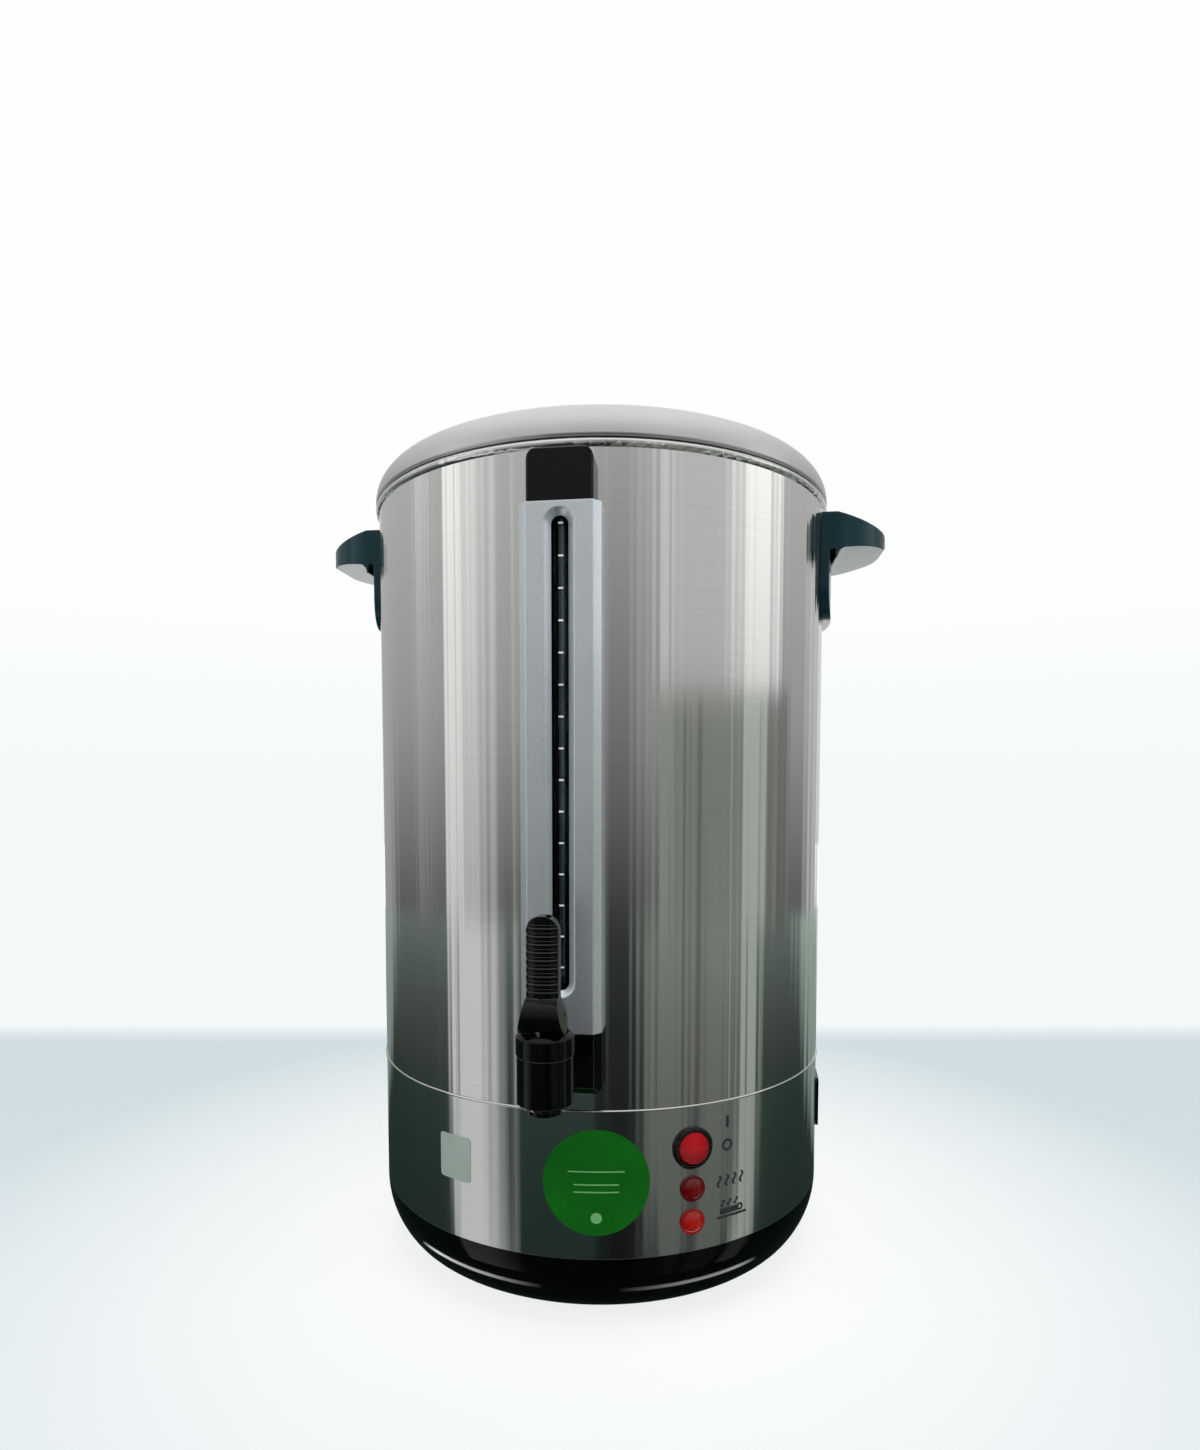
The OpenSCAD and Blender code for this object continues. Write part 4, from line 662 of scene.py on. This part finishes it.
WORLD_LIGHT = 0.55
HORIZON = (0.90, 0.94, 0.95, 1)
HORIZON_TOP = 0.22
world = bpy.data.worlds.new("studio")
bpy.context.scene.world = world
world.use_nodes = True
tree = world.node_tree
lit = tree.nodes["Background"]
lit.inputs["Color"].default_value = (0.97, 0.99, 1.0, 1)
lit.inputs["Strength"].default_value = WORLD_LIGHT
seen = tree.nodes.new("ShaderNodeBackground")
sight = tree.nodes.new("ShaderNodeTexCoord")
height = tree.nodes.new("ShaderNodeSeparateXYZ")
fall = tree.nodes.new("ShaderNodeMapRange")
fall.inputs["From Min"].default_value, fall.inputs["From Max"].default_value = 0.0, HORIZON_TOP
sky = tree.nodes.new("ShaderNodeMix")
sky.data_type = "RGBA"
sky.inputs[FIRST].default_value = HORIZON
sky.inputs[SECOND].default_value = (0.985, 0.99, 0.99, 1)
tree.links.new(sight.outputs["Generated"], height.inputs[0])
tree.links.new(height.outputs["Z"], fall.inputs["Value"])
tree.links.new(fall.outputs["Result"], sky.inputs["Factor"])
tree.links.new(sky.outputs[MIXED], seen.inputs["Color"])
seen.inputs["Strength"].default_value = 1.0
tree.links.new(light_path_mix(tree, seen.outputs[0], lit.outputs[0]),
               tree.nodes["World Output"].inputs["Surface"])


def lamp(name, place, aim, size, watts):
    """A round soft lamp that reflections don't see."""
    light = bpy.data.lights.new(name, "AREA")
    light.shape, light.size, light.energy = "DISK", size, watts
    holder = bpy.data.objects.new(name, light)
    holder.location = place
    holder.rotation_euler = (Vector(aim) - Vector(place)).to_track_quat("-Z", "Y").to_euler()
    holder.visible_glossy = False
    bpy.context.scene.collection.objects.link(holder)


lamp("top_lamp", (0.2, -0.3, 2.2), (0, 0, 0.3), 1.6, 26)
lamp("left_lamp", (-1.8, -1.3, 1.1), (0, 0, 0.25), 1.2, 16)
lamp("right_lamp", (1.9, -0.7, 0.9), (0, 0, 0.25), 1.2, 10)
bpy.context.scene.view_settings.view_transform = "Standard"

# %% [markdown]
# ## Floor
# The urn stands on a pale floor with a painted pool of light round its foot, and it turns to the colour of
# the horizon behind it, along a line square to the picture. Where the camera looks, most of the floor's
# brightness is its own, so that the lamps don't have to whiten it. For lighting it is paint, paler round
# the foot with the same painted pool of light.

# %% Floor
FLOOR_R = 9
SWEEP_WAY = (-0.129, 0.992, 0)
SWEEP_FROM, SWEEP_TO = 0.40, 0.475
PAINT_SHARE = 0.18
GLOW_FROM, GLOW_TO = 0.16, 0.48
floor_paint = finish("floor_paint", (0.84, 0.88, 0.89), 0.9, Specular_IOR_Level=0.0)
place = add(floor_paint, "TexCoord")
flat = add(floor_paint, "VectorMath", [(0, place.outputs["Object"])], operation="LENGTH")
# Painted pool of light in the paint: palest round the foot.
tint(floor_paint, flat.outputs["Value"], (0.95, 0.96, 0.96), (0.80, 0.86, 0.88), (0.2, 0.6))
pale = add(floor_paint, "Emission", Strength=1.0)
tree = floor_paint.node_tree
# Painted pool of light where the camera looks: palest round the foot, darker farther out.
near = add(floor_paint, "MapRange", [("Value", flat.outputs["Value"])],
           From_Min=GLOW_FROM, From_Max=GLOW_TO)
floor_pool_of_light = add(floor_paint, "Mix", data_type="RGBA")
floor_pool_of_light.inputs[FIRST].default_value = (0.98, 0.99, 0.99, 1)
floor_pool_of_light.inputs[SECOND].default_value = (0.58, 0.68, 0.71, 1)
tree.links.new(near.outputs["Result"], floor_pool_of_light.inputs["Factor"])
depth = add(floor_paint, "VectorMath", [(0, place.outputs["Object"])], operation="DOT_PRODUCT")
depth.inputs[1].default_value = SWEEP_WAY
back = add(floor_paint, "MapRange", [("Value", depth.outputs["Value"])],
           From_Min=SWEEP_FROM, From_Max=SWEEP_TO)
sweep = add(floor_paint, "Mix", data_type="RGBA")
sweep.inputs[SECOND].default_value = HORIZON
tree.links.new(back.outputs["Result"], sweep.inputs["Factor"])
tree.links.new(floor_pool_of_light.outputs[MIXED], sweep.inputs[FIRST])
tree.links.new(sweep.outputs[MIXED], pale.inputs["Color"])
half = add(floor_paint, "MixShader", [(1, pale.outputs[0]), (2, tree.nodes["Principled BSDF"].outputs[0])])
paint_share = add(floor_paint, "MapRange", [("Value", back.outputs["Result"])],
                  To_Min=PAINT_SHARE, To_Max=0.0)
tree.links.new(paint_share.outputs["Result"], half.inputs[0])
tree.links.new(light_path_mix(tree, half.outputs[0], tree.nodes["Principled BSDF"].outputs[0]),
               tree.nodes["Material Output"].inputs["Surface"])
bm = bmesh.new()
bmesh.ops.create_circle(bm, cap_ends=True, segments=96, radius=FLOOR_R)
mesh = bpy.data.meshes.new("floor")
bm.to_mesh(mesh)
bm.free()
mesh.materials.append(floor_paint)
floor = bpy.data.objects.new("floor", mesh)
bpy.context.scene.collection.objects.link(floor)
print("floor of", FLOOR_R, "m radius")

# %% [markdown]
# ## Cards
# Polished steel shows little of its own, so what it mirrors makes the picture. Cards stand in for the room
# of the photograph: curved walls, windows and dark gaps, and flat sheets on the floor, all of which only
# reflections see. A card fades out at its sides, so several may stand in front of each other. Floor cards
# that overlap lie a hair above each other.

# %% Cards
FLAT = 0.0008


def card(name, turns, foot, top, low, high, fade=(0, 0), colour=(1, 1, 1), foot_turns=None):
    """A sheet spun round the set that only reflections see. It goes from one brightness at its foot to
    another at its top, and fades out over some degrees at either side. Ends are (radius, height). The
    foot may lie at other turns than the top, which makes a strip that runs straight away from the urn."""
    bm = bmesh.new()
    glow = bm.verts.layers.float.new("glow")
    cover = bm.verts.layers.float.new("cover")
    first = math.radians(turns[0])
    ends = [bm.verts.new((r * math.sin(first), -r * math.cos(first), z)) for r, z in (foot, top)]
    ends[0][glow], ends[1][glow] = low, high
    edge = bm.edges.new(ends)
    bmesh.ops.spin(bm, geom=ends + [edge], cent=(0, 0, 0), axis=(0, 0, 1),
                   angle=math.radians(turns[1] - turns[0]), steps=int(turns[1] - turns[0]))
    for vertex in bm.verts:
        turn = math.degrees(math.atan2(vertex.co.x, -vertex.co.y))
        shares = [abs(turn - t) / f if f else 1.0 for t, f in zip(turns, fade)]
        vertex[cover] = min(1.0, *shares)
        if foot_turns and vertex.co.xy.length < foot[0] + FLAT:
            along = (turn - turns[0]) / (turns[1] - turns[0])
            place = math.radians(foot_turns[0] + along * (foot_turns[1] - foot_turns[0]))
            vertex.co.xy = foot[0] * math.sin(place), -foot[0] * math.cos(place)
    mesh = bpy.data.meshes.new(name)
    bm.to_mesh(mesh)
    bm.free()
    paint = bpy.data.materials.new(name + "_glow")
    paint.use_nodes = True
    paint.node_tree.nodes.clear()
    shade = add(paint, "Attribute", attribute_name="glow")
    sides = add(paint, "Attribute", attribute_name="cover")
    light = add(paint, "Emission", [("Strength", shade.outputs["Fac"])], Color=(*colour, 1))
    clear = add(paint, "BsdfTransparent")
    mix = add(paint, "MixShader", [(0, sides.outputs["Fac"]), (1, clear.outputs[0]), (2, light.outputs[0])])
    add(paint, "OutputMaterial", [("Surface", mix.outputs[0])])
    mesh.materials.append(paint)
    sheet = bpy.data.objects.new(name, mesh)
    bpy.context.scene.collection.objects.link(sheet)
    sheet.visible_camera = sheet.visible_diffuse = sheet.visible_shadow = False
    sheet.visible_transmission = False


GREEN = (0.56, 1.0, 0.84)
MOSS = (0.80, 1.0, 0.90)
LEAF = (0.93, 1.0, 0.92)
WALL_TURNS, WALL_FADE = (-148, 158), (10, 10)
MAT_TURNS, MAT_FADE = (-150, 160), (8, 8)
WALL_R, LOW_WALL, HIGH_WALL, WALL_TOP = 1.7, 0.5, 1.1, 3.0
FOOT = 0.16
BACK_FLOOR_R = 4.5
card("wall_low", WALL_TURNS, (WALL_R, 0.0), (WALL_R, LOW_WALL), 0.11, 0.37, WALL_FADE)
card("wall_high", WALL_TURNS, (WALL_R, LOW_WALL), (WALL_R, HIGH_WALL), 0.37, 0.52, WALL_FADE)
card("wall_top", WALL_TURNS, (WALL_R, HIGH_WALL), (WALL_R, WALL_TOP), 0.52, 1.0, WALL_FADE)
card("left_edge", (-147, -116), (1.65, 0.0), (1.65, 0.8), 0.32, 0.46, (3, 8))
card("left_strip", (-95, -80), (1.6, 0.0), (1.6, 1.2), 0.18, 0.80, (4, 4))
card("left_window", (-71, -57), (1.6, 0.0), (1.6, 1.2), 0.68, 1.25, (2, 5))
card("left_curtain", (-60, -37), (1.65, 0.0), (1.65, 1.2), 0.52, 0.88, (3, 18))
card("middle_shade", (4, 31), (1.55, 0.0), (1.55, 1.2), 0.03, 0.48, (5, 12))
card("right_wall", (31, 78), (1.62, 0.5), (1.62, 1.2), 0.52, 0.60, (6, 6))
card("wall_post", (32, 42), (1.46, 0.5), (1.46, 1.2), 0.62, 0.74, (3, 4))
card("right_window", (66, 102), (1.6, 0.45), (1.6, 1.2), 0.84, 1.35, (17, 6))
card("right_cupboard", (31, 112), (1.5, 0.0), (1.5, 0.50), 0.22, 0.235, (3, 5), LEAF)
card("cupboard_post", (32, 42), (1.46, 0.0), (1.46, 0.50), 0.28, 0.30, (3, 4), LEAF)
card("cupboard_slot", (49, 56), (1.45, 0.0), (1.45, 0.48), 0.12, 0.14, (2, 2))
card("right_gap", (74, 92), (1.44, 0.0), (1.44, 0.5), 0.44, 0.48, (4, 4), LEAF)
card("right_dark", (96, 109), (1.43, 0.0), (1.43, 0.5), 0.12, 0.20, (3, 5))
card("right_edge", (124, 156), (1.6, 0.0), (1.6, 0.8), 0.44, 0.60, (12, 3))
card("floor_mat", MAT_TURNS, (0.02, FLAT), (0.5, FLAT), 0.02, 0.045, MAT_FADE, GREEN)
card("floor_far", MAT_TURNS, (0.5, FLAT), (WALL_R, FLAT), 0.045, 0.20, MAT_FADE, MOSS)
card("left_edge_floor", (-146, -116), (FOOT, 2 * FLAT), (1.65, 2 * FLAT), 0.26, 0.36, (8, 8), MOSS)
card("left_back_floor", (-179, -146), (WALL_R, 2 * FLAT), (BACK_FLOOR_R, 2 * FLAT), 1.5, 1.5, (1, 2))
card("left_floor_glow", (-70, -34), (FOOT, 2 * FLAT), (1.6, 2 * FLAT), 0.62, 0.68, (3, 18),
     foot_turns=(-32, -12))
card("middle_floor", (4, 26), (FOOT, 2 * FLAT), (1.55, 2 * FLAT), 0.005, 0.03, (5, 5), MOSS)
card("right_floor", (24, 74), (FOOT, 2 * FLAT), (1.5, 2 * FLAT), 0.12, 0.27, (6, 4), LEAF, (13, 38))
card("slot_floor", (48, 57), (FOOT, 3 * FLAT), (1.45, 3 * FLAT), 0.05, 0.13, (3, 3), LEAF, (25, 29.5))
card("right_floor_glow", (73, 90), (FOOT, 3 * FLAT), (1.44, 3 * FLAT), 0.38, 0.44, (4, 5), LEAF, (39, 48))
card("right_edge_floor", (116, 158), (FOOT, 2 * FLAT), (1.6, 2 * FLAT), 0.26, 0.44, (12, 8), MOSS)
card("right_back_floor", (156, 179), (WALL_R, 2 * FLAT), (BACK_FLOOR_R, 2 * FLAT), 1.5, 1.5, (2, 1))
card("left_foot_line", (-52, -8), (0.141, 4 * FLAT), (0.145, 4 * FLAT), 4.5, 4.5, (8, 16))
card("right_foot_line", (12, 54), (0.141, 4 * FLAT), (0.145, 4 * FLAT), 3.5, 3.5, (16, 8))
